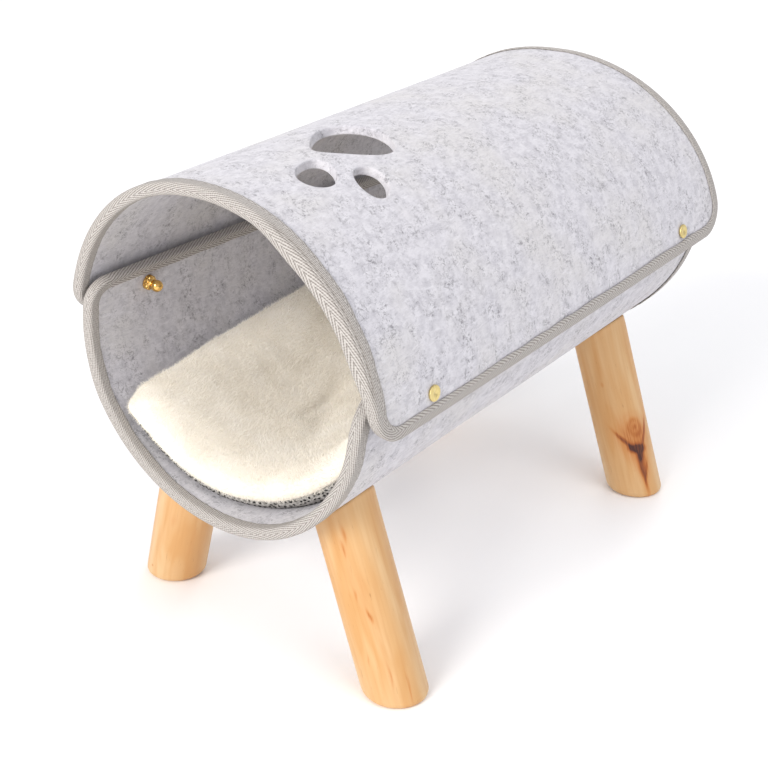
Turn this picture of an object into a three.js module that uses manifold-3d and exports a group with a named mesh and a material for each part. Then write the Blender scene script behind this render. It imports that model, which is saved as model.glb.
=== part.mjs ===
// A cat tunnel bed: two rolled felt panels bound with tape and held together by four
// brass studs, on four round pine legs, with a plush cushion lying in the tunnel.
// Millimetres. X runs across the tunnel, Y along it from the front mouth to the back, Z up.
import * as THREE from 'three';
import { mergeVertices } from 'three/addons/utils/BufferGeometryUtils.js';
import Module from 'manifold-3d';

const wasm = await Module();
wasm.setup();

// Clearance that pieces keep where they touch
const seat = 0.3;

// How far a panel's flat facets stand off its true curve
const facetSag = 0.25;

// Felt and its binding
const bedLength = 429.4;
const feltThickness = 6;
const tapeThickness = 0.8;
const tapeFoldOutside = 8;
const tapeFoldInside = 6.4;
const tapeStandoff = seat + tapeThickness;
const layerGap = 2 * tapeThickness + 3 * seat;
const feltHalfLength = bedLength / 2 - tapeStandoff;

// Both panels are drawn around one level line, the roll's axis. An angle is measured
// from straight up, positive towards +X. A panel's long edges lie at other angles at the
// back than at the front, because both are rolled up a little askew.
const axisHeight = 222;
const rollRadius = 118;
const topEdges = { front: { begin: -88.7, end: 101.1 }, back: { begin: -99.5, end: 94.1 } };
const bottomEdges = { front: { begin: 87.5, end: 284.3 }, back: { begin: 81.3, end: 273.7 } };
const topCorners = { begin: 22, end: 22 };
const bottomCorners = { begin: 30, end: 16 };

// The tape is slack round the front of the roof, on the right, and stands off the felt's
// inner face there
const rimSlack = 4.3;
const slackStart = THREE.MathUtils.degToRad(18);
const slackFull = THREE.MathUtils.degToRad(40);
const slackFades = THREE.MathUtils.degToRad(76);
const slackEnd = THREE.MathUtils.degToRad(92);

// Cross-sections at the front and back mouths. Each is an oval: its middle is shifted
// sideways and stands at a height, and power above 2 squares its left shoulder.
const topSections = [
  { along: -215, shift: -6.7, height: 200.6, right: 125.7, left: 114.9, rise: 127.5, leftPower: 2.16 },
  { along: 215, shift: -12.8, height: 204, right: 141.4, left: 127.8, rise: 125.7, leftPower: 2.35 },
];
const bottomSections = [
  { along: -215, shift: 1.6, height: 223.8, right: 106.9, left: 116, rise: 116, leftPower: 2 },
  { along: 215, shift: -6, height: 244.9, right: 123.6, left: 123.6, rise: 134, leftPower: 2 },
];

// The bottom panel's arms are pressed inwards where they run up inside the roof
const tuckBlend = 6;
const tuckFullAngle = THREE.MathUtils.degToRad(103);
const tuckNoneAngle = THREE.MathUtils.degToRad(118);

// Paw cut-outs in the roof: an egg of this length and width, its long axis turned from
// +X towards +Y on the flat panel, its far end widened by the taper
const pawHoles = [
  { across: -5.3, along: -86.7, length: 59.3, width: 58, turn: 84, taper: 0.5 },
  { across: 15.8, along: -142.1, length: 38, width: 27.2, turn: 131, taper: -0.19 },
  { across: 44, along: -117.9, length: 33.7, width: 22.9, turn: 154, taper: 0.05 },
];

// Studs: the angle and distance along at which each goes through both panels
const studPlaces = [
  { name: 'front_right', angle: 93.3, along: -160.8 },
  { name: 'back_right', angle: 88.2, along: 153.7 },
  { name: 'front_left', angle: -83.4, along: -162 },
  { name: 'back_left', angle: -91, along: 154 },
];
const studHeadRadius = 5;
const studHeadThickness = 1.6;
const studShankRadius = 2.4;
const studHoleRadius = studShankRadius + seat;
const ballBaseRadius = 5;
const ballBaseThickness = 3.4;
const ballNeckRadius = 2.4;
const ballNeckLength = 1.2;
const ballRadius = 4;

// Legs: the middle of each foot on the floor, and where its axis meets the felt
const legRadius = 21;
const legFootRounding = 4.5;
const legTopChamfer = 0.8;
const legPlaces = [
  { name: 'front_right', footX: 98.6, footY: -166.5, topX: 58.2, topY: -166.1 },
  { name: 'front_left', footX: -117.8, footY: -140.2, topX: -74, topY: -150 },
  { name: 'back_right', footX: 98.6, footY: 166.5, topX: 58.2, topY: 166.1 },
  { name: 'back_left', footX: -117.8, footY: 148, topX: -74, topY: 156 },
];

// Cushion, measured on the trough's inner face: it lies a little turned, its front edge
// slants back towards the right, and it is thinner along its long sides
const cushionHalfWidth = 122;
const cushionHalfLength = 198;
const cushionCorner = 13;
const cushionTurn = THREE.MathUtils.degToRad(3.6);
const cushionSlant = 0.15;
const slantStart = -33;
const slantBlend = 12;
const cushionThickness = 25;
const endEdgeHeight = 16;
const sideEdgeHeight = 10.5;
const sideFadeRun = 34;
const cushionCrownRun = 34;
const cushionBulge = 2.5;
const baseThickness = 1.6;
const baseRimHeight = 8;
const sideRimHeight = 4.4;
const baseRimRun = 11;

// Where the long sides are drawn in, how far along that reaches and how deep it goes
const sideTucks = [
  { along: -112, reach: 46, depth: 4.5 },
  { along: 70, reach: 58, depth: 3.5 },
];

// Soft hollows in the plush: where they are, how far they reach and how deep they go
const plushHollows = [
  { across: -40, along: -70, reachX: 46, reachY: 60, depth: 2.6 },
  { across: 10, along: 95, reachX: 60, reachY: 55, depth: 2.4 },
];

const finishes = {
  felt: { color: 0xd9d8df, roughness: 0.95, metalness: 0 },
  binding: { color: 0xa9a59c, roughness: 0.6, metalness: 0 },
  brass: { color: 0xd4a64a, roughness: 0.25, metalness: 1 },
  pine: { color: 0xe6bd8b, roughness: 0.55, metalness: 0 },
  plush: { color: 0xf3ecdc, roughness: 1, metalness: 0 },
  dottedCloth: { color: 0x6d6c68, roughness: 0.9, metalness: 0 },
};

// The row of a section table at a distance along the bed
function sectionAt(table, along) {
  const [front, back] = table;
  const share = (along - front.along) / (back.along - front.along);
  const blend = (name) => front[name] + (back[name] - front[name]) * share;
  return Object.fromEntries(Object.keys(front).map((name) => [name, blend(name)]));
}

// How far the section's outline is from the roll's axis in the direction of an angle
function ovalRadius(section, angle) {
  const reach = (radius) => {
    const x = radius * Math.sin(angle) - section.shift;
    const z = radius * Math.cos(angle) + axisHeight - section.height;
    const power = x < 0 && z > 0 ? section.leftPower : 2;
    const halfWidth = x < 0 ? section.left : section.right;
    return (Math.abs(x) / halfWidth) ** power + (Math.abs(z) / section.rise) ** power;
  };
  let inside = 0;
  let outside = 2 * rollRadius;
  for (let halving = 0; halving < 40; halving += 1) {
    const middle = (inside + outside) / 2;
    if (reach(middle) < 1) inside = middle;
    else outside = middle;
  }
  return inside;
}

function topOutline(angle, along) {
  return ovalRadius(sectionAt(topSections, along), angle);
}

// The trough's own oval, held inside the roof wherever the roof covers it
function bottomOutline(angle, along) {
  const own = ovalRadius(sectionAt(bottomSections, along), angle);
  const limit = topOutline(angle, along) - feltThickness - layerGap;
  const held = (own + limit - Math.hypot(own - limit, tuckBlend)) / 2;
  const fromTop = Math.abs(THREE.MathUtils.euclideanModulo(angle + Math.PI, 2 * Math.PI) - Math.PI);
  const free = THREE.MathUtils.smoothstep(fromTop, tuckFullAngle, tuckNoneAngle);
  return THREE.MathUtils.lerp(held, own, free);
}

function aroundAxis(radius, angle, along) {
  return new THREE.Vector3(radius * Math.sin(angle), along, axisHeight + radius * Math.cos(angle));
}

// A flat panel is as wide as it is rolled up at the middle of the bed
function flatPanel({ front, back }, corners, outline, slack) {
  const meanHalfAngle = (front.end - front.begin + back.end - back.begin) / 4;
  return { front, back, corners, outline, slack, halfAcross: THREE.MathUtils.degToRad(meanHalfAngle) * rollRadius };
}

const topPanel = flatPanel(topEdges, topCorners, topOutline, rimSlack);
const bottomPanel = flatPanel(bottomEdges, bottomCorners, bottomOutline, 0);

function rolledAngle(panel, across, along) {
  const backShare = along / bedLength + 0.5;
  const begin = THREE.MathUtils.lerp(panel.front.begin, panel.back.begin, backShare);
  const end = THREE.MathUtils.lerp(panel.front.end, panel.back.end, backShare);
  return THREE.MathUtils.degToRad(THREE.MathUtils.lerp(begin, end, (across / panel.halfAcross + 1) / 2));
}

// A point of a rolled panel from its place on the flat panel and its height above the
// felt's outer face
function rolled(panel, across, along, height) {
  const angle = rolledAngle(panel, across, along);
  return aroundAxis(panel.outline(angle, along) + height, angle, along);
}

// A closed body from its points and triangles
function body(points, triangles) {
  const geometry = new THREE.BufferGeometry();
  geometry.setAttribute('position', new THREE.Float32BufferAttribute(points.flatMap((p) => p.toArray()), 3));
  geometry.setIndex(triangles.flat());
  return geometry;
}

function quad(a, b, c, d) {
  return [[a, b, c], [a, c, d]];
}

// Places across a sheet with rounded corners, closer together round the corners. One
// long edge may have other corners than the other.
function acrossStations(halfAcross, corners, middleSteps) {
  const first = corners.begin - halfAcross;
  const last = halfAcross - corners.end;
  const cornerSteps = 5;
  const stations = [];
  for (let step = 0; step <= middleSteps; step += 1) {
    stations.push(THREE.MathUtils.lerp(first, last, step / middleSteps));
  }
  for (let step = 1; step <= cornerSteps; step += 1) {
    const bend = Math.sin((step / cornerSteps) * (Math.PI / 2));
    stations.push(last + corners.end * bend);
    stations.unshift(first - corners.begin * bend);
  }
  return stations;
}

// Half the sheet's length at a place across, where its corners are rounded
function alongLimit(halfAcross, halfAlong, corners, across) {
  const corner = across < 0 ? corners.begin : corners.end;
  const past = Math.max(0, Math.abs(across) - (halfAcross - corner));
  return halfAlong - corner + Math.sqrt(Math.max(0, corner ** 2 - past ** 2));
}

// A closed body between two grids of points with the same columns and rows. The rings in
// between, if any, lead from the lower grid's border to the upper grid's.
function layeredBody(columns, rows, lower, rings, upper) {
  const points = [];
  const triangles = [];
  const addGrid = (place) => {
    const first = points.length;
    for (let c = 0; c < columns; c += 1) {
      for (let r = 0; r < rows; r += 1) points.push(place(c, r));
    }
    return (c, r) => first + c * rows + r;
  };
  const low = addGrid(lower);
  const high = addGrid(upper);
  for (let c = 0; c < columns - 1; c += 1) {
    for (let r = 0; r < rows - 1; r += 1) {
      triangles.push(...quad(high(c, r), high(c + 1, r), high(c + 1, r + 1), high(c, r + 1)));
      triangles.push(...quad(low(c, r), low(c, r + 1), low(c + 1, r + 1), low(c + 1, r)));
    }
  }
  const border = [];
  for (let c = 0; c < columns - 1; c += 1) border.push([c, 0]);
  for (let r = 0; r < rows - 1; r += 1) border.push([columns - 1, r]);
  for (let c = columns - 1; c > 0; c -= 1) border.push([c, rows - 1]);
  for (let r = rows - 1; r > 0; r -= 1) border.push([0, r]);
  const loops = [border.map(([c, r]) => low(c, r))];
  for (const ring of rings) {
    loops.push(border.map(([c, r]) => points.push(ring(c, r)) - 1));
  }
  loops.push(border.map(([c, r]) => high(c, r)));
  for (let level = 0; level < loops.length - 1; level += 1) {
    for (let i = 0; i < border.length; i += 1) {
      const next = (i + 1) % border.length;
      triangles.push(...quad(loops[level][i], loops[level][next], loops[level + 1][next], loops[level + 1][i]));
    }
  }
  return body(points, triangles);
}

// A profile carried round a closed loop of stations
function loopedBody(stations, profile, place) {
  const points = stations.flatMap((station) => profile.map((corner) => place(station, corner)));
  const triangles = [];
  const size = profile.length;
  for (let s = 0; s < stations.length; s += 1) {
    const here = s * size;
    const there = ((s + 1) % stations.length) * size;
    for (let p = 0; p < size; p += 1) {
      const q = (p + 1) % size;
      triangles.push(...quad(here + q, there + q, there + p, here + p));
    }
  }
  return body(points, triangles);
}

// Boolean cuts
function toManifold(geometry) {
  const bare = geometry.clone();
  bare.deleteAttribute('normal');
  bare.deleteAttribute('uv');
  const merged = mergeVertices(bare, 1e-4);
  return new wasm.Manifold(new wasm.Mesh({
    numProp: 3,
    vertProperties: new Float32Array(merged.attributes.position.array),
    triVerts: new Uint32Array(merged.index.array),
  }));
}

function fromManifold(solid) {
  const mesh = solid.getMesh();
  const geometry = new THREE.BufferGeometry();
  geometry.setAttribute('position', new THREE.Float32BufferAttribute(mesh.vertProperties, 3));
  geometry.setIndex([...mesh.triVerts]);
  return geometry;
}

function cut(geometry, cutters) {
  let solid = toManifold(geometry);
  for (const cutter of cutters) solid = solid.subtract(toManifold(cutter));
  return fromManifold(solid);
}

// The paw's pad and toes as plugs that run right through the roof along its curve
function pawPlug(hole) {
  const turn = THREE.MathUtils.degToRad(hole.turn);
  const steps = 28;
  const overshoot = 3;
  const levels = [-feltThickness - overshoot, overshoot];
  const points = [];
  for (const level of levels) {
    for (let step = 0; step < steps; step += 1) {
      const t = (step / steps) * 2 * Math.PI;
      const lengthwise = (hole.length / 2) * Math.cos(t);
      const sideways = (hole.width / 2) * Math.sin(t) * (1 + hole.taper * Math.cos(t));
      const across = hole.across + lengthwise * Math.cos(turn) - sideways * Math.sin(turn);
      const along = hole.along + lengthwise * Math.sin(turn) + sideways * Math.cos(turn);
      points.push(rolled(topPanel, across, along, level));
    }
  }
  const triangles = [];
  for (let step = 0; step < steps; step += 1) {
    const next = (step + 1) % steps;
    triangles.push(...quad(step, next, steps + next, steps + step));
  }
  for (let step = 1; step < steps - 1; step += 1) {
    triangles.push([0, step + 1, step]);
    triangles.push([steps, steps + step, steps + step + 1]);
  }
  return body(points, triangles);
}

// The direction square to a panel's face at an angle and a distance along
function faceNormal(outline, angle, along) {
  const step = 0.02;
  const at = (turned, moved) => aroundAxis(outline(turned, moved), turned, moved);
  const round = at(angle + step, along).sub(at(angle - step, along));
  const lengthwise = at(angle, along + 1).sub(at(angle, along - 1));
  return round.cross(lengthwise).normalize();
}

// A turned piece, its axis square to a panel at a stud's place; height 0 is the panel's
// outer face
function turnedAtStud(place, outline, profile, sides) {
  const geometry = new THREE.LatheGeometry(profile.map(([r, h]) => new THREE.Vector2(r, h)), sides);
  const angle = THREE.MathUtils.degToRad(place.angle);
  const outward = faceNormal(outline, angle, place.along);
  geometry.applyQuaternion(new THREE.Quaternion().setFromUnitVectors(new THREE.Vector3(0, 1, 0), outward));
  const onFace = aroundAxis(outline(angle, place.along), angle, place.along);
  geometry.translate(onFace.x, onFace.y, onFace.z);
  return geometry;
}

function studHole(place) {
  const reach = 30;
  const profile = [[0, -reach], [studHoleRadius, -reach], [studHoleRadius, reach], [0, reach]];
  return turnedAtStud(place, topOutline, profile, 14);
}

// Flat steps between the rounded corners of a panel, the same for the felt and its tape
const edgeSteps = 26;

function felt(panel, cutters) {
  const across = acrossStations(panel.halfAcross, panel.corners, edgeSteps);
  const rows = 9;
  const place = (height) => (c, r) => {
    const limit = alongLimit(panel.halfAcross, feltHalfLength, panel.corners, across[c]);
    return rolled(panel, across[c], limit * (2 * r / (rows - 1) - 1), height);
  };
  const sheet = layeredBody(across.length, rows, place(-feltThickness), [], place(0));
  return cut(sheet, cutters);
}

// How far the tape stands off the felt's inner face at a place on the panel's edge; the
// turn is the direction in which the edge faces on the flat panel
function tapeSlack(panel, across, along, turn) {
  const angle = rolledAngle(panel, across, along);
  const rises = THREE.MathUtils.smoothstep(angle, slackStart, slackFull);
  const falls = 1 - THREE.MathUtils.smoothstep(angle, slackFades, slackEnd);
  return panel.slack * rises * falls * Math.max(0, -Math.sin(turn));
}

// The tape folded round a panel's edge
function binding(panel) {
  const sideSteps = 8;
  const cornerSteps = 5;
  const stations = [];
  const bends = [[1, -1, -90], [1, 1, 0], [-1, 1, 90], [-1, -1, 180]].map(([sideX, sideY, start]) => {
    const radius = sideX > 0 ? panel.corners.end : panel.corners.begin;
    return { across: sideX * (panel.halfAcross - radius), along: sideY * (feltHalfLength - radius), radius, start };
  });
  bends.forEach((bend, i) => {
    for (let step = 0; step <= cornerSteps; step += 1) {
      stations.push({ ...bend, turn: THREE.MathUtils.degToRad(bend.start + 90 * step / cornerSteps) });
    }
    const next = bends[(i + 1) % bends.length];
    const steps = i % 2 === 0 ? sideSteps : edgeSteps;
    const turn = THREE.MathUtils.degToRad(bend.start + 90);
    for (let step = 1; step < steps; step += 1) {
      const between = (name) => THREE.MathUtils.lerp(bend[name], next[name], step / steps);
      stations.push({ across: between('across'), along: between('along'), radius: between('radius'), turn });
    }
  });
  const chamfer = 0.6;
  const outerFace = tapeStandoff;
  const innerFace = -feltThickness - tapeStandoff;
  const profile = [
    { inset: tapeFoldOutside, height: seat },
    { inset: tapeFoldOutside, height: outerFace },
    { inset: chamfer - tapeStandoff, height: outerFace },
    { inset: -tapeStandoff, height: outerFace - chamfer },
    { inset: -tapeStandoff, height: innerFace + chamfer, slack: 1 },
    { inset: chamfer - tapeStandoff, height: innerFace, slack: 1 },
    { inset: tapeFoldInside, height: innerFace, slack: 0.3 },
    { inset: tapeFoldInside, height: -feltThickness - seat },
    { inset: -seat, height: -feltThickness - seat },
    { inset: -seat, height: seat },
  ];
  return loopedBody(stations, profile, (station, corner) => {
    const reach = station.radius - corner.inset;
    const across = station.across + reach * Math.cos(station.turn);
    const along = station.along + reach * Math.sin(station.turn);
    const slack = (corner.slack ?? 0) * tapeSlack(panel, across, along, station.turn);
    return rolled(panel, across, along, corner.height - slack);
  });
}

// Flat head outside, shank through both felts to the trough's inner face
function studScrew(place) {
  const angle = THREE.MathUtils.degToRad(place.angle);
  const apart = topOutline(angle, place.along) - bottomOutline(angle, place.along);
  const shankEnd = -apart - feltThickness;
  const headTop = seat + studHeadThickness;
  const headEdge = 0.5;
  const dimple = 0.9;
  const profile = [
    [0, shankEnd],
    [studShankRadius, shankEnd],
    [studShankRadius, seat],
    [studHeadRadius, seat],
    [studHeadRadius, headTop - headEdge],
    [studHeadRadius - headEdge, headTop],
    [dimple, headTop],
    [0, headTop - headEdge],
  ];
  return turnedAtStud(place, topOutline, profile, 16);
}

// How far below the trough's outer face its inner face comes anywhere under a ball's base
function innerFaceDepth(place) {
  const angle = THREE.MathUtils.degToRad(place.angle);
  const centreRadius = bottomOutline(angle, place.along);
  const centre = aroundAxis(centreRadius, angle, place.along);
  const outward = faceNormal(bottomOutline, angle, place.along);
  const samples = 12;
  const depths = Array.from({ length: samples }, (_, i) => {
    const turn = (i / samples) * 2 * Math.PI;
    const turned = angle + ballBaseRadius * Math.cos(turn) / centreRadius;
    const moved = place.along + ballBaseRadius * Math.sin(turn);
    const onInnerFace = aroundAxis(bottomOutline(turned, moved) - feltThickness, turned, moved);
    return centre.clone().sub(onInnerFace).dot(outward);
  });
  return Math.max(...depths);
}

// Base, neck and ball inside the tunnel, where the shank ends
function studBall(place) {
  const baseTop = -innerFaceDepth(place) - seat - facetSag;
  const baseEnd = baseTop - ballBaseThickness;
  const baseEdge = 0.6;
  const ballMiddle = baseEnd - ballNeckLength - ballRadius * 0.85;
  const profile = [[0, ballMiddle - ballRadius]];
  for (const degrees of [-60, -30, 0, 30, 57]) {
    const t = THREE.MathUtils.degToRad(degrees);
    profile.push([ballRadius * Math.cos(t), ballMiddle + ballRadius * Math.sin(t)]);
  }
  profile.push([ballNeckRadius, baseEnd], [ballBaseRadius - baseEdge, baseEnd]);
  profile.push([ballBaseRadius, baseEnd + baseEdge], [ballBaseRadius, baseTop], [0, baseTop]);
  return turnedAtStud(place, bottomOutline, profile, 16);
}

// A round stick that leans in to the trough: cut flat on the floor with its foot's rim
// rounded, and cut at the top to lie against the felt
function leg(place) {
  const topAngle = Math.PI - Math.asin(place.topX / bottomOutline(Math.PI, place.topY));
  const top = aroundAxis(bottomOutline(topAngle, place.topY), topAngle, place.topY);
  const normal = faceNormal(bottomOutline, topAngle, place.topY).negate();
  normal.setY(0).normalize();
  const foot = new THREE.Vector3(place.footX, place.footY, 0);
  const axis = top.clone().sub(foot).normalize();
  const lean = new THREE.Vector3(axis.x, axis.y, 0).normalize();
  const side = new THREE.Vector3(-lean.y, lean.x, 0);
  const ringPoint = (height, radius, turn) => {
    const centre = foot.clone().addScaledVector(axis, height / axis.z);
    centre.addScaledVector(lean, radius * Math.cos(turn) / axis.z);
    return centre.addScaledVector(side, radius * Math.sin(turn));
  };
  const plane = top.clone().addScaledVector(normal, -seat);
  const onTopPlane = (radius, turn, below) => {
    const start = ringPoint(0, radius, turn);
    const run = plane.clone().sub(start).dot(normal) / axis.dot(normal);
    return start.addScaledVector(axis, run - below);
  };
  const sides = 24;
  const rings = [];
  for (const share of [0, 0.3, 0.65, 1]) {
    const bend = share * Math.PI / 2;
    const height = legFootRounding * (1 - Math.cos(bend));
    const radius = legRadius - legFootRounding * (1 - Math.sin(bend));
    rings.push((turn) => ringPoint(height, radius, turn));
  }
  rings.push((turn) => onTopPlane(legRadius, turn, legTopChamfer));
  rings.push((turn) => onTopPlane(legRadius - legTopChamfer, turn, 0));
  const points = rings.flatMap((ring) => Array.from({ length: sides }, (_, i) => ring(i / sides * 2 * Math.PI)));
  const triangles = [];
  for (let level = 0; level < rings.length - 1; level += 1) {
    for (let i = 0; i < sides; i += 1) {
      const next = (i + 1) % sides;
      const low = level * sides;
      const high = low + sides;
      triangles.push(...quad(low + i, low + next, high + next, high + i));
    }
  }
  const last = (rings.length - 1) * sides;
  for (let i = 1; i < sides - 1; i += 1) {
    triangles.push([0, i + 1, i]);
    triangles.push([last, last + i, last + i + 1]);
  }
  return body(points, triangles);
}

function sideTuck(along) {
  return sideTucks.reduce((sum, tuck) => {
    const off = (along - tuck.along) / tuck.reach;
    return sum + tuck.depth * Math.exp(-(off ** 2));
  }, 0);
}

// A point in the trough from a place on the cushion's own plan and its height above the
// felt's inner face
function inTrough(across, along, height) {
  const pastStart = across - slantStart;
  const setback = cushionSlant * (pastStart + Math.hypot(pastStart, slantBlend)) / 2;
  const shifted = along + setback * (1 - along / cushionHalfLength) / 2;
  const drawnIn = across - Math.sign(across) * (across / cushionHalfWidth) ** 4 * sideTuck(along);
  const turnedAcross = drawnIn * Math.cos(cushionTurn) - shifted * Math.sin(cushionTurn);
  const turnedAlong = drawnIn * Math.sin(cushionTurn) + shifted * Math.cos(cushionTurn);
  const wallRadius = rollRadius - layerGap - 2 * feltThickness;
  const angle = Math.PI - turnedAcross / wallRadius;
  return aroundAxis(bottomOutline(angle, turnedAlong) - feltThickness - height, angle, turnedAlong);
}

// The cushion's plan is a rounded rectangle. Its grid has rows close to both ends, and
// each place knows how far it is from the border.
const cushionCorners = { begin: cushionCorner, end: cushionCorner };
const cushionAcross = acrossStations(cushionHalfWidth, cushionCorners, 10);
const rowInsets = [0, 1.6, 5, 11, 21];
const middleRows = 7;
const cushionRows = 2 * rowInsets.length + middleRows;

function cushionPlace(column, row, grow) {
  const across = cushionAcross[column];
  const limit = alongLimit(cushionHalfWidth, cushionHalfLength, cushionCorners, across);
  const lastInset = rowInsets[rowInsets.length - 1];
  const fromEnd = Math.min(row, cushionRows - 1 - row);
  const inset = fromEnd < rowInsets.length ? rowInsets[fromEnd] : null;
  const end = row < cushionRows / 2 ? -1 : 1;
  const share = (row - rowInsets.length + 1) / (middleRows + 1);
  const along = inset === null ? (limit - lastInset) * (2 * share - 1) : end * (limit - inset);
  const pastX = Math.abs(across) - (cushionHalfWidth - cushionCorner);
  const pastY = Math.abs(along) - (cushionHalfLength - cushionCorner);
  const inCorner = pastX > 0 && pastY > 0;
  const cornerReach = inCorner ? Math.hypot(pastX, pastY) : Math.max(pastX, pastY);
  return {
    across: across * (1 + grow / cushionHalfWidth),
    along: along * (1 + grow / cushionHalfLength),
    border: Math.max(0, cushionCorner - cornerReach),
    side: THREE.MathUtils.smoothstep(Math.abs(across), cushionHalfWidth - sideFadeRun, cushionHalfWidth),
  };
}

// The height at which the turned-up base cloth ends
function rimHeight(side) {
  return THREE.MathUtils.lerp(baseRimHeight, sideRimHeight, side);
}

// The cushion's height at its border
function edgeHeight(side) {
  return THREE.MathUtils.lerp(endEdgeHeight, sideEdgeHeight, side);
}

// Rises from 0 at the border to 1 at the end of the run, as a quarter circle does
function rounded(border, run) {
  return Math.sqrt(1 - (1 - Math.min(1, border / run)) ** 2);
}

function plushHollow(across, along) {
  return plushHollows.reduce((sum, hollow) => {
    const offX = (across - hollow.across) / hollow.reachX;
    const offY = (along - hollow.along) / hollow.reachY;
    return sum + hollow.depth * Math.exp(-(offX ** 2 + offY ** 2));
  }, 0);
}

// Base cloth: a thin sheet under the cushion, turned up round its edge
function cushionBase() {
  const face = (grow, floor, run) => (column, row) => {
    const { across, along, border, side } = cushionPlace(column, row, grow);
    const height = floor + (rimHeight(side) - floor) * (1 - rounded(border, run));
    return inTrough(across, along, height);
  };
  const under = face(0, seat, baseRimRun);
  const over = face(-baseThickness, seat + baseThickness, baseRimRun - baseThickness);
  return layeredBody(cushionAcross.length, cushionRows, under, [], over);
}

// Cushion: one filled body that sits inside the turned-up base cloth and swells over it
function cushion() {
  const inner = baseThickness + seat;
  const floor = seat + inner;
  const bottom = (column, row) => {
    const { across, along, border, side } = cushionPlace(column, row, -inner);
    const height = floor + (rimHeight(side) - floor) * (1 - rounded(border, baseRimRun - inner));
    return inTrough(across, along, height);
  };
  const ring = (grow, aboveRim) => (column, row) => {
    const { across, along, side } = cushionPlace(column, row, grow);
    return inTrough(across, along, rimHeight(side) + aboveRim);
  };
  const rings = [
    ring(-inner, seat),
    ring(cushionBulge * 0.5, 2 * seat),
    ring(cushionBulge, 3.2),
  ];
  const top = (column, row) => {
    const { across, along, border, side } = cushionPlace(column, row, cushionBulge * 0.4);
    const crown = (cushionThickness - edgeHeight(side)) * rounded(border, cushionCrownRun);
    const hollow = plushHollow(across, along) * rounded(border, cushionCrownRun);
    return inTrough(across, along, edgeHeight(side) + crown - hollow);
  };
  return layeredBody(cushionAcross.length, cushionRows, bottom, rings, top);
}

// The bed
const bed = new THREE.Group();
const placed = new THREE.Group();
bed.add(placed);

function add(name, finish, geometry) {
  const mesh = new THREE.Mesh(geometry, new THREE.MeshStandardMaterial(finishes[finish]));
  mesh.name = name;
  placed.add(mesh);
}

const studHoles = studPlaces.map(studHole);
add('felt_top', 'felt', felt(topPanel, [...pawHoles.map(pawPlug), ...studHoles]));
add('felt_bottom', 'felt', felt(bottomPanel, studHoles));
add('binding_top', 'binding', binding(topPanel));
add('binding_bottom', 'binding', binding(bottomPanel));
for (const place of studPlaces) {
  add(`stud_screw_${place.name}`, 'brass', studScrew(place));
  add(`stud_ball_${place.name}`, 'brass', studBall(place));
}
for (const place of legPlaces) add(`leg_${place.name}`, 'pine', leg(place));
add('cushion', 'plush', cushion());
add('cushion_base', 'dottedCloth', cushionBase());

// The origin lies on the floor under the middle of the bed's box
const middle = new THREE.Box3().setFromObject(bed).getCenter(new THREE.Vector3());
placed.position.set(-middle.x, -middle.y, 0);

export default bed;
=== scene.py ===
import math

import bpy
import numpy as np
from mathutils import Matrix, Vector
from mathutils.geometry import delaunay_2d_cdt


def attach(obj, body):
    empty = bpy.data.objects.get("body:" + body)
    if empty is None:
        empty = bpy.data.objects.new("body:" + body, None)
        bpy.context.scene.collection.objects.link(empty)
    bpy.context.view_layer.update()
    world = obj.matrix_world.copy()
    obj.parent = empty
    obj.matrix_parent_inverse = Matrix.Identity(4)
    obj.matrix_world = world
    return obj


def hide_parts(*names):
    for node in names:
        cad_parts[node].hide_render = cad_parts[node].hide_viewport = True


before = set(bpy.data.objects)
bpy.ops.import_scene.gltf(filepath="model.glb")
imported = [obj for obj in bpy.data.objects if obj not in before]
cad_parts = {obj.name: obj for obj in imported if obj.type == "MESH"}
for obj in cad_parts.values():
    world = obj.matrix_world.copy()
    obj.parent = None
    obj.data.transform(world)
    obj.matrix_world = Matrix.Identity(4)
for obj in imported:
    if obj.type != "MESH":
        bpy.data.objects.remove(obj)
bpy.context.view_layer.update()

MM = 0.001

# Sizes of the pieces, as the solids have them
SEAT = 0.3 * MM
BED_LENGTH = 429.4 * MM
FELT_THICKNESS = 6 * MM
TAPE_THICKNESS = 0.8 * MM
TAPE_FOLD_OUTSIDE = 8 * MM
TAPE_FOLD_INSIDE = 6.4 * MM
TAPE_STANDOFF = SEAT + TAPE_THICKNESS
LAYER_GAP = 2 * TAPE_THICKNESS + 3 * SEAT
FELT_HALF_LENGTH = BED_LENGTH / 2 - TAPE_STANDOFF

# Both panels are drawn around the roll's axis; the bed's own middle lies a little to
# the side of it. Angles are in degrees from straight up, positive towards +X. A panel's
# long edges lie at other angles at the back, because both are rolled up a little askew.
AXIS_X = 6.23 * MM
AXIS_HEIGHT = 222 * MM
ROLL_RADIUS = 118 * MM
TOP_EDGES = dict(front=(-88.7, 101.1), back=(-99.5, 94.1))
BOTTOM_EDGES = dict(front=(87.5, 284.3), back=(81.3, 273.7))

# The tape is slack round the front of the roof, on the right: it stands off the felt's
# inner face there and creases along its outer fold. The slack starts, is full, fades and
# ends at these angles.
RIM_SLACK = 4.3 * MM
CREASE_DEPTH = 1.1 * MM
SLACK_ANGLES = dict(start=18, full=40, fades=76, end=92)

# The trough's arms are pressed inwards where they run up inside the roof
TUCK_BLEND = 6 * MM
TUCK_FULL_ANGLE = math.radians(103)
TUCK_NONE_ANGLE = math.radians(118)

# Cross-sections at the two mouths, in millimetres
TOP_SECTIONS = [
    dict(along=-215, shift=-6.7, height=200.6, right=125.7, left=114.9, rise=127.5, left_power=2.16),
    dict(along=215, shift=-12.8, height=204, right=141.4, left=127.8, rise=125.7, left_power=2.35),
]
BOTTOM_SECTIONS = [
    dict(along=-215, shift=1.6, height=223.8, right=106.9, left=116, rise=116, left_power=2),
    dict(along=215, shift=-6, height=244.9, right=123.6, left=123.6, rise=134, left_power=2),
]

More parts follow.
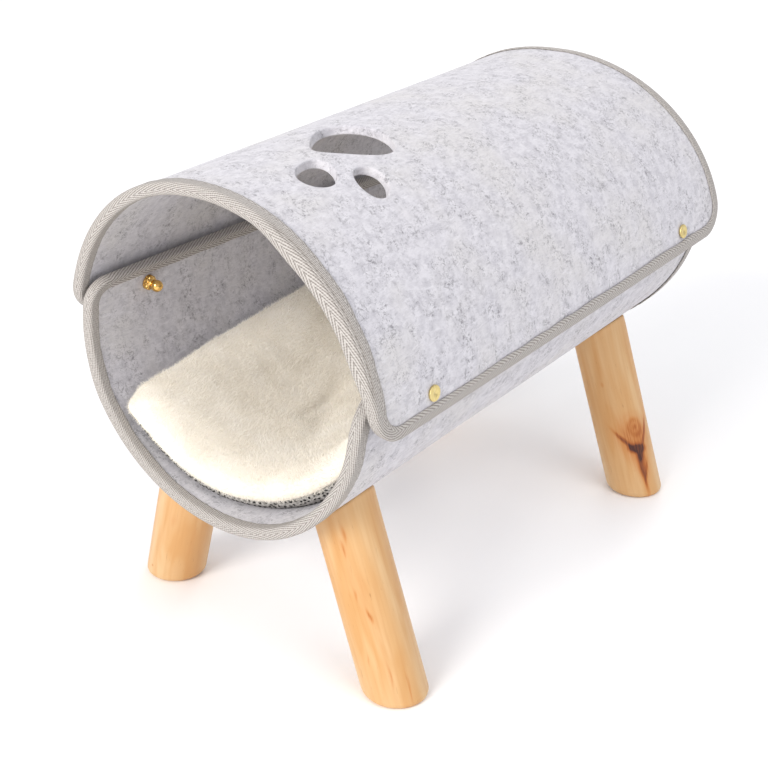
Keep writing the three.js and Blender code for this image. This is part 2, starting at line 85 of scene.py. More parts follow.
# Paw cut-outs on the flat roof panel, in millimetres and degrees
PAW_HOLES = [
    dict(across=-5.3, along=-86.7, length=59.3, width=58, turn=84, taper=0.5),
    dict(across=15.8, along=-142.1, length=38, width=27.2, turn=131, taper=-0.19),
    dict(across=44, along=-117.9, length=33.7, width=22.9, turn=154, taper=0.05),
]

HOLE_STEPS = 72

# Studs: angle in degrees and distance along in millimetres
STUD_PLACES = [
    dict(name="front_right", angle=93.3, along=-160.8),
    dict(name="back_right", angle=88.2, along=153.7),
    dict(name="front_left", angle=-83.4, along=-162),
    dict(name="back_left", angle=-91, along=154),
]

# Legs: the middle of each foot on the floor, and where its axis meets the felt
LEG_RADIUS = 21 * MM
LEG_GAP = 0.5 * MM
LEG_PLACES = [
    dict(name="front_right", foot=(98.6, -166.5), top=(58.2, -166.1)),
    dict(name="front_left", foot=(-117.8, -140.2), top=(-74, -150)),
    dict(name="back_right", foot=(98.6, 166.5), top=(58.2, 166.1)),
    dict(name="back_left", foot=(-117.8, 148), top=(-74, 156)),
]

# Knots, resin and dark grain: degrees round the leg from the way it leans, height and
# half sizes (across, up) in millimetres, how far it drifts sideways as it rises, how dark
# it is, and how many half rings a half size holds where it has rings
LEG_MARKS = {
    "front_right": [
        (122, 80, 6, 62, -0.1, 0.16),
        (112, 112, 1.0, 6, 0, 0.34),
        (120, 122, 1.2, 7, 0, 0.3),
        (124, 66, 0.8, 4.5, 0, 0.42),
        (110, 80, 0.7, 4, 0, 0.3),
        (100, 34, 0.7, 5, 0, 0.3),
        (131, 24, 0.8, 9, 0, 0.32),
        (158, 14, 0.8, 12, 0, 0.42),
    ],
    "front_left": [
        (-62, 62, 3, 7, 0, 0.16),
        (-95, 12, 1.1, 1.4, 0, 0.5),
        (-20, 40, 2.4, 22, 0.1, 0.14),
    ],
    "back_right": [
        (143, 51, 17, 21, 0, 0.42),
        (150, 26, 7, 15, 0, 0.32),
        (151, 61, 9, 11.5, 0, 0.26, 3.4),
        (121, 50, 2.3, 8.5, -0.9, 0.5),
        (174, 56, 1.8, 13, 0.45, 0.45),
        (148, 43, 6.2, 3.4, -0.3, 1),
        (150, 37, 3, 4.6, 0.1, 0.6),
        (148, 27, 2.4, 9, 0.1, 0.36),
        (156, 23, 1.3, 8, 0.3, 0.34),
        (149, 10, 1.6, 13, 0, 0.42),
        (100, 96, 1.4, 2.4, 0, 0.3),
    ],
    "back_left": [
        (20, 60, 5, 7, 0, 0.5, 3),
        (22, 45, 1.6, 12, 0, 0.4),
    ],
}

# Cushion. It lies turned in the trough, and the right part of its front edge slants back.
CUSHION_HALF_WIDTH = 122 * MM
CUSHION_HALF_LENGTH = 198 * MM
CUSHION_CORNER = 8 * MM
CUSHION_TURN = math.radians(3.6)
CUSHION_SLANT = 0.15
SLANT_START = -33 * MM
SLANT_BLEND = 12 * MM
CUSHION_THICKNESS = 25 * MM
END_EDGE_HEIGHT = 16 * MM
SIDE_EDGE_HEIGHT = 10.5 * MM
SIDE_FADE_RUN = 34 * MM
CROWN_RUN = 34 * MM
CUSHION_BULGE = 2.5 * MM
BASE_THICKNESS = 1.6 * MM
BASE_RIM_HEIGHT = 8 * MM
SIDE_RIM_HEIGHT = 4.4 * MM
BASE_RIM_RUN = 11 * MM
PILE_BLADES = 180000

# In millimetres: where the long sides are drawn in, and the soft hollows in the plush
SIDE_TUCKS = [
    dict(along=-112, reach=46, depth=4.5),
    dict(along=70, reach=58, depth=3.5),
]
PLUSH_HOLLOWS = [
    dict(across=-40, along=-70, reach_x=46, reach_y=60, depth=2.6),
    dict(across=10, along=95, reach_x=60, reach_y=55, depth=2.4),
]

# Creases in the plush, from one place (across, along) to another: half width and depth,
# which is below zero for a ridge
PLUSH_CREASES = [
    dict(start=(-32, -107), end=(-36, -54), half_width=4.5, depth=3.4),
    dict(start=(-36, -58), end=(0, -138), half_width=9, depth=3.2),
    dict(start=(-10, -62), end=(26, -140), half_width=13, depth=-1.8),
]

# A small turn in radians, to either side of a place, that shows which way a face lies
NEAR_TURN = 0.02


# Shapes
def oval_radius(sections, angle, along):
    """How far the section's outline is from the roll's axis in the direction of an angle."""
    halvings = 34
    front, back = sections
    share = (along / MM - front["along"]) / (back["along"] - front["along"])
    at = {key: front[key] + (back[key] - front[key]) * share for key in front}
    sin, cos = np.sin(angle), np.cos(angle)
    inside = np.zeros_like(sin * share)
    outside = inside + 2 * ROLL_RADIUS / MM
    for _ in range(halvings):
        middle = (inside + outside) / 2
        x = middle * sin - at["shift"]
        z = middle * cos + AXIS_HEIGHT / MM - at["height"]
        power = np.where((x < 0) & (z > 0), at["left_power"], 2)
        half_width = np.where(x < 0, at["left"], at["right"])
        reach = (np.abs(x) / half_width) ** power + (np.abs(z) / at["rise"]) ** power
        inside = np.where(reach < 1, middle, inside)
        outside = np.where(reach < 1, outside, middle)
    return inside * MM


def smooth_step(value, low, high):
    share = np.clip((value - low) / (high - low), 0, 1)
    return share * share * (3 - 2 * share)


def top_outline(angle, along):
    return oval_radius(TOP_SECTIONS, angle, along)


def bottom_outline(angle, along):
    own = oval_radius(BOTTOM_SECTIONS, angle, along)
    limit = top_outline(angle, along) - FELT_THICKNESS - LAYER_GAP
    held = (own + limit - np.hypot(own - limit, TUCK_BLEND)) / 2
    from_top = np.abs((angle + math.pi) % (2 * math.pi) - math.pi)
    free = smooth_step(from_top, TUCK_FULL_ANGLE, TUCK_NONE_ANGLE)
    return held + (own - held) * free


def around_axis(radius, angle, along):
    x, z = AXIS_X + radius * np.sin(angle), AXIS_HEIGHT + radius * np.cos(angle)
    return np.stack([x, along + 0 * angle, z], -1)


def flat_panel(edges, corners, outline, holes, slack):
    """A panel's flat shape, which is as wide as it is rolled up at the bed's middle, with
    corners of one radius on each side."""
    begin = (edges["front"][0] + edges["back"][0]) / 2
    end = (edges["front"][1] + edges["back"][1]) / 2
    return dict(
        edges=edges,
        corners=[c * MM for c in corners],
        outline=outline,
        holes=holes,
        slack=slack,
        half_across=math.radians(end - begin) / 2 * ROLL_RADIUS,
    )


TOP_PANEL = flat_panel(TOP_EDGES, (22, 22), top_outline, PAW_HOLES, 1)
BOTTOM_PANEL = flat_panel(BOTTOM_EDGES, (30, 16), bottom_outline, [], 0)


def rolled_angle(panel, across, along):
    front, back = (np.array(panel["edges"][end]) for end in ("front", "back"))
    back_share = along / BED_LENGTH + 0.5
    begin, end = (front[i] + (back[i] - front[i]) * back_share for i in (0, 1))
    return np.radians(begin + (end - begin) * (across / panel["half_across"] + 1) / 2)


def rolled(panel, across, along, height):
    """Points of a rolled panel from their places on the flat panel."""
    angle = rolled_angle(panel, across, along)
    return around_axis(panel["outline"](angle, along) + height, angle, along)


def soft_noise(x, y, seed, waves=7):
    """A smooth uneven height between about -1 and 1, from waves in seeded directions."""
    rng = np.random.default_rng(seed)
    total = 0
    for _ in range(waves):
        turn, pitch = rng.uniform(0, 2 * math.pi), rng.uniform(0.7, 1.6)
        start = rng.uniform(0, 2 * math.pi)
        total = total + np.sin(pitch * (x * math.cos(turn) + y * math.sin(turn)) + start)
    return total / waves * 1.6


# Meshes
def make_piece(name, points, faces, uv=None, attributes=None, smooth=True):
    """A new object in the scene from points, faces and places on the flat, which are given
    for each point or for each corner of each face."""
    mesh = bpy.data.meshes.new(name)
    mesh.from_pydata([tuple(map(float, p)) for p in points], [], [tuple(map(int, f)) for f in faces])
    mesh.validate()
    if uv is not None:
        layer = mesh.uv_layers.new(name="flat")
        uv = np.asarray(uv, dtype=np.float32)
        if len(uv) == len(mesh.vertices):
            corner = np.empty(len(mesh.loops), dtype=np.int32)
            mesh.loops.foreach_get("vertex_index", corner)
            uv = uv[corner]
        layer.data.foreach_set("uv", uv.ravel())
    for key, values in (attributes or {}).items():
        values = np.asarray(values, dtype=np.float32)
        kind = "FLOAT" if values.ndim == 1 else "FLOAT_VECTOR"
        field = mesh.attributes.new(key, kind, "POINT")
        field.data.foreach_set("value" if values.ndim == 1 else "vector", values.ravel())
    if smooth:
        mesh.shade_smooth()
    piece = bpy.data.objects.new(name, mesh)
    bpy.context.scene.collection.objects.link(piece)
    return piece


def finish_piece(piece, material, slot, *nodes):
    """Gives a piece its material and puts it in place of its solids. Its slot is not used."""
    piece.data.materials.append(material)
    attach(piece, "root")
    if nodes:
        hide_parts(*nodes)
    return piece


def grid_faces(columns, rows, first=0, flip=False, wrap=False):
    """Quads between neighbouring columns and rows of a grid of points."""
    c = np.arange(columns if wrap else columns - 1)
    r = np.arange(rows - 1)
    c, r = (a.ravel() for a in np.meshgrid(c, r, indexing="ij"))
    d = (c + 1) % columns
    quads = np.stack([c * rows + r, d * rows + r, d * rows + r + 1, c * rows + r + 1], -1) + first
    return quads[:, ::-1] if flip else quads


def rounded_rectangle(half_x, half_y, corners, spacing):
    """Points round a sheet with rounded corners, anticlockwise: across, along and the way
    the edge faces. The corners' radii are given for the left and the right side."""
    bends = []
    for side_x, side_y, start in ((1, -1, -90), (1, 1, 0), (-1, 1, 90), (-1, -1, 180)):
        radius = corners[1] if side_x > 0 else corners[0]
        middle = np.array([side_x * (half_x - radius), side_y * (half_y - radius)])
        bends.append((middle, radius, start))
    loop = []
    for i, (middle, radius, start) in enumerate(bends):
        next_middle, next_radius, _ = bends[(i + 1) % 4]
        bend_steps = max(4, round(radius * math.pi / 2 / spacing))
        for turn in np.radians(start + 90 * np.arange(bend_steps + 1) / bend_steps):
            loop.append((*(middle + radius * np.array([math.cos(turn), math.sin(turn)])), turn))
        facing = np.array([math.cos(turn), math.sin(turn)])
        a, b = middle + radius * facing, next_middle + next_radius * facing
        steps = round(np.linalg.norm(b - a) / spacing)
        loop += [(*(a + (b - a) * s / steps), turn) for s in range(1, steps)]
    return np.array(loop)


def egg(hole, grow=0):
    """Points round a paw cut-out on the flat panel, anticlockwise."""
    t = np.arange(HOLE_STEPS) / HOLE_STEPS * 2 * math.pi
    lengthwise = (hole["length"] / 2 * MM + grow) * np.cos(t)
    sideways = (hole["width"] / 2 * MM + grow) * np.sin(t) * (1 + hole["taper"] * np.cos(t))
    turn = math.radians(hole["turn"])
    across = hole["across"] * MM + lengthwise * math.cos(turn) - sideways * math.sin(turn)
    along = hole["along"] * MM + lengthwise * math.sin(turn) + sideways * math.cos(turn)
    return np.stack([across, along], -1)


def inside_loop(points, loop):
    """Which points lie inside a closed loop."""
    inside = np.zeros(len(points), dtype=bool)
    x, y = points[:, 0], points[:, 1]
    for (x0, y0), (x1, y1) in zip(loop, np.roll(loop, -1, axis=0)):
        crosses = (y0 > y) != (y1 > y)
        with np.errstate(divide="ignore", invalid="ignore"):
            inside ^= crosses & (x < (x1 - x0) * (y - y0) / (y1 - y0) + x0)
    return inside


def triangulated(loops, inner):
    """Triangles of a flat sheet inside its first loop and outside the others: points,
    faces, and the new place of each point that was given, loops first."""
    points = np.vstack([*loops, inner])
    edges, first = [], 0
    for loop in loops:
        edges += [(first + i, first + (i + 1) % len(loop)) for i in range(len(loop))]
        first += len(loop)
    flat, _, faces, origins, _, _ = delaunay_2d_cdt([Vector(p) for p in points], edges, [], 0, 1e-7)
    flat, faces = np.array([tuple(p) for p in flat]), np.array(faces)
    middles = flat[faces].mean(axis=1)
    keep = np.ones(len(faces), dtype=bool)
    for hole in loops[1:]:
        keep &= ~inside_loop(middles, hole)
    return flat, faces[keep], {given: i for i, origin in enumerate(origins) for given in origin}


def felt_panel(name, panel, seed):
    """A stiff felt panel with softly rounded cut edges, rolled up."""
    spacing, margin, hole_margin = 4 * MM, 2.5 * MM, 2.6 * MM
    edge_round, cut_round = 1.2 * MM, 0.7 * MM
    half_x, half_y = panel["half_across"], FELT_HALF_LENGTH
    outer = rounded_rectangle(half_x, half_y, panel["corners"], spacing)
    place, outward = outer[:, :2], np.stack([np.cos(outer[:, 2]), np.sin(outer[:, 2])], -1)
    nx, ny = round(2 * half_x / spacing), round(2 * half_y / spacing)
    gx, gy = np.meshgrid(np.linspace(-half_x, half_x, nx), np.linspace(-half_y, half_y, ny))
    inner = np.stack([gx.ravel(), gy.ravel()], -1)
    within = [c - margin for c in panel["corners"]]
    border = rounded_rectangle(half_x - margin, half_y - margin, within, spacing)
    keep = inside_loop(inner, border[:, :2])
    for hole in panel["holes"]:
        keep &= ~inside_loop(inner, egg(hole, hole_margin))
    loops = [place - edge_round * outward, *[egg(hole, cut_round) for hole in panel["holes"]]]
    flat, faces, place_of = triangulated(loops, inner[keep])
    spots, uvs = [], []

    def add_ring(places, depth, uv=None):
        """Adds points at a depth under the outer face, which swells slowly and is finely
        uneven, and gives the first one's number."""
        start = sum(len(s) for s in spots)
        across, along = places.T
        relief = 0.35 * MM * soft_noise(across / (34 * MM), along / (34 * MM), seed)
        relief = relief + 0.06 * MM * soft_noise(across / (5 * MM), along / (5 * MM), seed + 1)
        spots.append(rolled(panel, across, along, relief - depth))
        uvs.append(places if uv is None else uv)
        return start

    top, low = add_ring(flat, 0), add_ring(flat, FELT_THICKNESS)
    everything = [*(faces + top), *(faces[:, ::-1] + low)]
    first = 0
    for hole, loop in zip([None, *panel["holes"]], loops):
        ids = np.array([place_of[first + i] for i in range(len(loop))])
        first += len(loop)
        rounding = cut_round if hole else edge_round
        walls = [FELT_THICKNESS * share for share in (0.3, 0.45, 0.6, 0.75)] if hole else []
        soft = 0.3 * rounding
        rings = [(soft, soft), (0, rounding), *[(0, depth) for depth in walls]]
        rings += [(0, FELT_THICKNESS - rounding), (soft, FELT_THICKNESS - soft)]
        levels = [top + ids]
        for inset, depth in rings:
            if hole:
                start = add_ring(egg(hole, inset), depth, egg(hole, -depth))
            else:
                start = add_ring(place - inset * outward, depth)
            levels.append(start + np.arange(len(loop)))
        levels.append(low + ids)
        for upper, lower in zip(levels, levels[1:]):
            quads = np.stack([upper, lower, np.roll(lower, -1), np.roll(upper, -1)], -1)
            everything += [*(quads[:, ::-1] if hole else quads)]
    return make_piece(name, np.vstack(spots), everything, uv=np.vstack(uvs))


def tape_profile():
    """The folded tape's cross-section, one row a point: inset from the felt's edge, height,
    place across the tape, share of the slack, and share of the outer fold's crease."""
    outer_round = 2.2 * MM
    lip = 0.35 * MM
    steps = 6
    crease_width = 1.2 * MM

    def side(standoff, radius):
        top, bottom = standoff, -FELT_THICKNESS - standoff
        path = [(TAPE_FOLD_OUTSIDE - lip, top)]
        run = TAPE_FOLD_OUTSIDE - lip - (radius - standoff)
        path += [(TAPE_FOLD_OUTSIDE - lip - run * s / 4, top) for s in range(1, 4)]
        for turn in np.linspace(0, math.pi / 2, steps + 1):
            inset = -standoff + radius * (1 - math.sin(turn))
            path.append((inset, top - radius * (1 - math.cos(turn))))
        span = top - bottom - 2 * radius
        path += [(-standoff, top - radius - span * s / 3) for s in range(1, 3)]
        for turn in np.linspace(0, math.pi / 2, steps + 1):
            inset = -standoff + radius * (1 - math.cos(turn))
            path.append((inset, bottom + radius * (1 - math.sin(turn))))
        run = TAPE_FOLD_INSIDE - lip - (radius - standoff)
        path += [(radius - standoff + run * s / 4, bottom) for s in range(1, 4)]
        path.append((TAPE_FOLD_INSIDE - lip, bottom))
        return np.array(path)

    outside = side(TAPE_STANDOFF, outer_round)
    inside = side(SEAT, outer_round - TAPE_THICKNESS)
    across = np.concatenate([[0], np.cumsum(np.linalg.norm(np.diff(outside, axis=0), axis=1))])
    # The crease lies a third of the way round the outer bend, which starts at the fifth point
    crease = np.exp(-(((across - across[4 + steps // 3]) / crease_width) ** 2))
    middle_inside = -FELT_THICKNESS - SEAT - TAPE_THICKNESS / 2
    rows = [(*p, a, c) for p, a, c in zip(outside, across, crease)]
    rows.append((TAPE_FOLD_INSIDE, middle_inside, across[-1] + TAPE_THICKNESS, 0))
    rows += [(*p, a, 0) for p, a in zip(inside[::-1], across[::-1])]
    rows.append((TAPE_FOLD_OUTSIDE, SEAT + TAPE_THICKNESS / 2, -TAPE_THICKNESS, 0))
    rows = np.array(rows)
    down = np.clip(-rows[:, 1] / FELT_THICKNESS, 0, 1)
    inwards = np.clip(rows[:, 0] / TAPE_FOLD_INSIDE, 0, 1) * (down > 0.9)
    return np.column_stack([rows[:, :3], down * (1 - 0.7 * inwards), rows[:, 3]])


def tape(name, panel, seed):
    """Herringbone tape folded round a panel's edge."""
    stations = rounded_rectangle(panel["half_across"], FELT_HALF_LENGTH, panel["corners"], 3 * MM)
    profile = tape_profile()
    step = np.linalg.norm(np.diff(stations[:, :2], axis=0, append=stations[:1, :2]), axis=1)
    run = np.concatenate([[0], np.cumsum(step)])
    stations = np.vstack([stations, stations[:1]])
    lap = run / run[-1] * 2 * math.pi

    def uneven(size, waves, drift, turns):
        """Waves round the loop that lie closer together in some places than in others."""
        return size * np.sin(lap * waves + drift * np.sin(lap * turns + seed))[:, None]

    edge_x, edge_y, facing = (stations[:, i : i + 1] for i in range(3))
    inset, level, _, slack_share, crease_share = (profile[None, :, i] for i in range(5))
    from_edge = np.clip(inset / TAPE_FOLD_OUTSIDE, 0, 1)
    inset = inset + from_edge * uneven(0.35 * MM, 31, 3, 7)
    across = edge_x - inset * np.cos(facing)
    along = edge_y - inset * np.sin(facing)
    angle = np.degrees(rolled_angle(panel, across, along))
    rises = smooth_step(angle, SLACK_ANGLES["start"], SLACK_ANGLES["full"])
    falls = 1 - smooth_step(angle, SLACK_ANGLES["fades"], SLACK_ANGLES["end"])
    slack = panel["slack"] * rises * falls * np.maximum(0, -np.sin(facing))
    drop = slack * (RIM_SLACK * slack_share + CREASE_DEPTH * crease_share)
    level = level + from_edge * uneven(0.12 * MM, 143, 2, 11) - drop
    across = across - slack * CREASE_DEPTH * crease_share * np.cos(facing)
    along = along - slack * CREASE_DEPTH * crease_share * np.sin(facing)
    points = rolled(panel, across, along, level)[:-1].reshape(-1, 3)
    columns, rows = len(stations) - 1, len(profile)
    c, r = (a.ravel() for a in np.meshgrid(np.arange(columns), np.arange(rows), indexing="ij"))
    d, s = (c + 1) % columns, (r + 1) % rows
    faces = np.stack([c * rows + r, c * rows + s, d * rows + s, d * rows + r], -1)
    # Round the curved mouths the tape is stretched, and its ribs lie lower and closer
    pulled = np.abs(np.sin(stations[:, 2]))
    stretch, narrow = 1 - 0.31 * pulled, 1 + 0.54 * pulled
    run = np.concatenate([[0], np.cumsum(step * (stretch[1:] + stretch[:-1]) / 2)])
    near, far = narrow[c], narrow[c + 1]
    start, end = profile[r, 2], profile[s, 2]
    lengthwise = np.stack([run[c], run[c], run[c + 1], run[c + 1]], -1)
    crosswise = np.stack([start * near, end * near, end * far, start * far], -1)
    corners = np.stack([lengthwise, crosswise], -1).reshape(-1, 2)
    # Painted shade along the crease of the slack fold, passed to the tape's colour as the fold attribute
    fold = np.broadcast_to(slack * crease_share, across.shape)[:-1].ravel()
    return make_piece(name, points, faces, uv=corners, attributes={"fold": fold})


def face_frame(outline, place):
    """Where a stud stands on a panel's outer face, as a matrix whose Z is square to it."""
    angle, along = math.radians(place["angle"]), place["along"] * MM

    def at(turned, moved):
        return around_axis(outline(turned, moved), turned, moved)

    round_way = at(angle + NEAR_TURN, along) - at(angle - NEAR_TURN, along)
    long_way = at(angle, along + MM) - at(angle, along - MM)
    outward = Vector(np.cross(round_way, long_way)).normalized()
    turn = Vector((0, 0, 1)).rotation_difference(outward).to_matrix().to_4x4()
    return Matrix.Translation(Vector(at(angle, along))) @ turn


def turned_piece(name, profile, matrix, sides=48, flute=None):
    """A lathe-turned piece from (radius, height) pairs in millimetres that start and end
    on its axis. Flutes are grooves down the widest rings that lie below a height."""
    turn = np.arange(sides)[:, None] / sides * 2 * math.pi
    radius, height = np.array(profile[1:-1], dtype=float).T
    rows = len(height)
    if flute:
        cut = (radius > radius.max() - 0.5) & (height < flute["below"])
        radius = radius - cut * flute["depth"] * (0.5 + 0.5 * np.cos(turn * flute["count"]))
    rings = np.stack([radius * np.cos(turn), radius * np.sin(turn), height + 0 * turn], -1)
    ends = [(0, 0, profile[0][1]), (0, 0, profile[-1][1])]
    points = np.vstack([rings.reshape(-1, 3), ends])
    first, last = sides * rows, sides * rows + 1
    faces = grid_faces(sides, rows, wrap=True).tolist()
    for i in range(sides):
        j = (i + 1) % sides
        faces.append((first, j * rows, i * rows))
        faces.append((last, i * rows + rows - 1, j * rows + rows - 1))
    return make_piece(name, [matrix @ (Vector(p) * MM) for p in points], faces)


def rounded_corner(radius, height, bend, steps=4):
    """Profile points round a turned piece's upper edge, in millimetres."""
    turns = [math.pi / 2 * s / steps for s in range(steps + 1)]
    return [(radius - bend * (1 - math.cos(t)), height - bend * (1 - math.sin(t))) for t in turns]


def stud_screw(place):
    """Flat screw head outside, with a tiny centre mark, and its shank through the felts."""
    angle, along = math.radians(place["angle"]), place["along"] * MM
    apart = float(top_outline(angle, along) - bottom_outline(angle, along)) / MM
    end = -apart - FELT_THICKNESS / MM
    shank, head, mark = 2.4, 5, 0.8
    low = SEAT / MM
    top = low + 1.6
    profile = [(0, end), (shank, end), (shank, low), (head - 0.4, low), (head, low + 0.3)]
    profile += rounded_corner(head, top, 0.45)
    profile += [(3.2, top + 0.05), (mark + 0.3, top + 0.08), (mark, top - 0.25), (0, top - 0.3)]
    return turned_piece("screw_" + place["name"], profile, face_frame(top_outline, place))


def inner_face_depth(place, radius):
    """How far below the trough's outer face its inner face comes under a ball's base."""
    angle, along = math.radians(place["angle"]), place["along"] * MM
    turn = np.arange(12) / 12 * 2 * math.pi
    turned = angle + radius * np.cos(turn) / bottom_outline(angle, along)
    moved = along + radius * np.sin(turn)
    face = around_axis(bottom_outline(turned, moved) - FELT_THICKNESS, turned, moved)
    inward = face_frame(bottom_outline, place).inverted()
    return max(-(inward @ Vector(p)).z for p in face)


def stud_ball(place):
    """Fluted base, neck and ball inside the tunnel."""
    base_radius, ball_radius, neck = 5, 4, 2.4
    base_height, neck_height, clear = 3.4, 1.2, 0.25
    top = -(inner_face_depth(place, base_radius * MM) + SEAT) / MM - clear
    low = top - base_height
    middle = low - neck_height - ball_radius * 0.85
    profile = [(0, top), (base_radius - 0.4, top), (base_radius, top - 0.3)]
    profile += [(base_radius, top - 0.4 - 2.5 * s / 6) for s in range(1, 6)]
    profile += [(base_radius, low + 0.4), (base_radius - 0.4, low), (neck, low)]
    for degrees in range(52, -91, -9):
        t = math.radians(degrees)
        profile.append((ball_radius * math.cos(t), middle + ball_radius * math.sin(t)))
    profile.append((0, middle - ball_radius))
    flute = dict(below=top - 0.4, depth=0.7, count=12)
    matrix = face_frame(bottom_outline, place)
    return turned_piece("ball_stud_" + place["name"], profile[::-1], matrix, 128, flute)


def leg_frame(place):
    """Foot, axis, and the plane that the leg's top is cut to."""
    foot = Vector((place["foot"][0] * MM + AXIS_X, place["foot"][1] * MM, 0))
    x, along = place["top"][0] * MM, place["top"][1] * MM
    angle = math.pi - math.asin(x / bottom_outline(math.pi, along))

    def at(turned):
        return Vector(around_axis(bottom_outline(turned, along), turned, along))

    top = at(angle)
    round_way = at(angle + NEAR_TURN) - at(angle - NEAR_TURN)
    normal = Vector((round_way.z, 0, -round_way.x)).normalized()
    if normal.dot(top - foot) < 0:
        normal.negate()
    return foot, (top - foot).normalized(), top - normal * SEAT, normal


def up_to_felt(starts, axis, guess):
    """How far lines that start on the floor run beside a leg's axis before they reach the
    felt."""
    below, above, halvings = 5 * MM, 8 * MM, 24
    low, high = guess - below, guess + above
    for _ in range(halvings):
        run = (low + high) / 2
        x, y, z = (starts + run[:, None] * np.array(axis)).T
        x, z = x - AXIS_X, z - AXIS_HEIGHT
        clear = np.hypot(x, z) > bottom_outline(np.arctan2(x, z), y) + LEG_GAP
        low, high = np.where(clear, run, low), np.where(clear, high, run)
    return low


def peeled_leg(place):
    """A peeled, sanded stick: slightly uneven, with a rounded foot and its top cut to the
    felt."""
    name = place["name"]
    foot, axis, plane, normal = (np.array(v) for v in leg_frame(place))
    lean = np.array([axis[0], axis[1], 0]) / math.hypot(axis[0], axis[1])
    side = np.array([-lean[1], lean[0], 0])
    sides, rows = 160, 144
    rounding = 4.5 * MM
    chamfer, chamfer_run = 0.5 * MM, 1.0 * MM
    turn = np.arange(sides)[:, None] / sides * 2 * math.pi
    outward = np.cos(turn) / axis[2] * lean + np.sin(turn) * side

    def full_runs(radius):
        starts = foot + outward * radius
        return up_to_felt(starts, axis, (plane - starts) @ normal / (axis @ normal))[:, None]

    full = full_runs(LEG_RADIUS)
    run = full * np.linspace(0, 1, rows) ** 1.15
    level = run * axis[2]
    bend = np.maximum(0, 1 - level / rounding)
    inset = rounding * (1 - np.sqrt(1 - bend**2))
    seed = sum(map(ord, name))
    uneven = 0.35 * MM * soft_noise(3 * np.cos(turn) + level * 22, 3 * np.sin(turn), seed)
    uneven = uneven * smooth_step(level, 0, 12 * MM) * smooth_step(full - run, 0, 8 * MM)
    radius = LEG_RADIUS - inset + uneven - chamfer * np.maximum(0, 1 - (full - run) / chamfer_run)

    def placed(radius, run):
        """Points beside the axis, and their places in the wood's own grain."""
        points = foot + outward[:, None] * radius[..., None] + run[..., None] * axis
        grain = np.stack([radius * np.cos(turn), radius * np.sin(turn), run], -1)
        return points.reshape(-1, 3), grain.reshape(-1, 3)

    # The cut top follows the felt, through one ring halfway to its middle
    half = LEG_RADIUS / 2
    half_run = full_runs(half)
    wall, cut = placed(radius, run), placed(np.full((sides, 1), half), half_run)
    top_run = full_runs(0)[0]
    middles = np.array([wall[0][::rows].mean(axis=0), foot + axis * top_run])
    points = np.vstack([wall[0], cut[0], middles])
    grain = np.vstack([wall[1], cut[1], [(0, 0, 0), (0, 0, top_run[0])]])
    marks = np.concatenate([leg_mark(name, np.degrees(turn), run / MM).ravel(), np.zeros(sides + 2)])
    faces = grid_faces(sides, rows, wrap=True).tolist()
    count = sides * rows
    ends = []
    for c in range(sides):
        d = (c + 1) % sides
        ends.append((d * rows, c * rows, count + sides))
        ends.append((c * rows + rows - 1, d * rows + rows - 1, count + d, count + c))
        ends.append((count + c, count + d, count + sides + 1))
    looks = {"grain": grain, "mark": marks}
    piece = make_piece("peeled_leg_" + name, points, faces + ends, attributes=looks)
    for polygon in piece.data.polygons[len(faces) :]:
        polygon.material_index = 1
        polygon.use_smooth = False
    return piece


def leg_mark(name, turn, height):
    """How dark a knot, resin or grain makes the wood at places on a leg. The marks' edges
    wander by up to a millimetre."""
    total = 0.0
    contrast = 0.275
    around = 8 * np.cos(np.radians(turn)), 8 * np.sin(np.radians(turn))
    wander = 0.9 * soft_noise(around[0], around[1] + height / 4, len(name))
    for mark_turn, mark_height, wide, high, drift, dark, *rings in LEG_MARKS[name]:
        off_turn = (turn - mark_turn + 180) % 360 - 180
        rise = height - mark_height
        sideways = np.radians(off_turn) * LEG_RADIUS / MM - drift * rise + wander
        reach = np.hypot(sideways / wide, rise / high)
        shade = np.exp(-(reach**2.4))
        if rings:
            shade = shade * (1 - contrast + contrast * np.cos(reach * math.pi * rings[0]))
        total = total + dark * shade
    return np.minimum(1, total)


# Cushion
def side_tuck(across, along):
    """How far a long side is drawn in: the right one in two places, the left one at the
    front."""
    right = 0
    for tuck in SIDE_TUCKS:
        off = (along / MM - tuck["along"]) / tuck["reach"]
        right = right + tuck["depth"] * np.exp(-(off**2))
    corner = 4 * smooth_step(-along, CUSHION_HALF_LENGTH - 20 * MM, CUSHION_HALF_LENGTH)
    left = corner + 1.5 * smooth_step(-along, 115 * MM, 150 * MM)
    return np.where(across > 0, right, left) * MM


def in_trough(across, along, height):
    """Points in the trough from places on the cushion's plan."""
    past = across - SLANT_START
    setback = CUSHION_SLANT * (past + np.hypot(past, SLANT_BLEND)) / 2
    shifted = along + setback * (1 - along / CUSHION_HALF_LENGTH) / 2
    drawn = across - np.sign(across) * (across / CUSHION_HALF_WIDTH) ** 4 * side_tuck(across, along)
    turned_across = drawn * math.cos(CUSHION_TURN) - shifted * math.sin(CUSHION_TURN)
    turned_along = drawn * math.sin(CUSHION_TURN) + shifted * math.cos(CUSHION_TURN)
    angle = math.pi - turned_across / (ROLL_RADIUS - LAYER_GAP - 2 * FELT_THICKNESS)
    radius = bottom_outline(angle, turned_along) - FELT_THICKNESS - height
    return around_axis(radius, angle, turned_along)


def quarter_round(border, run):
    return np.sqrt(1 - (1 - np.clip(border / run, 0, 1)) ** 2)


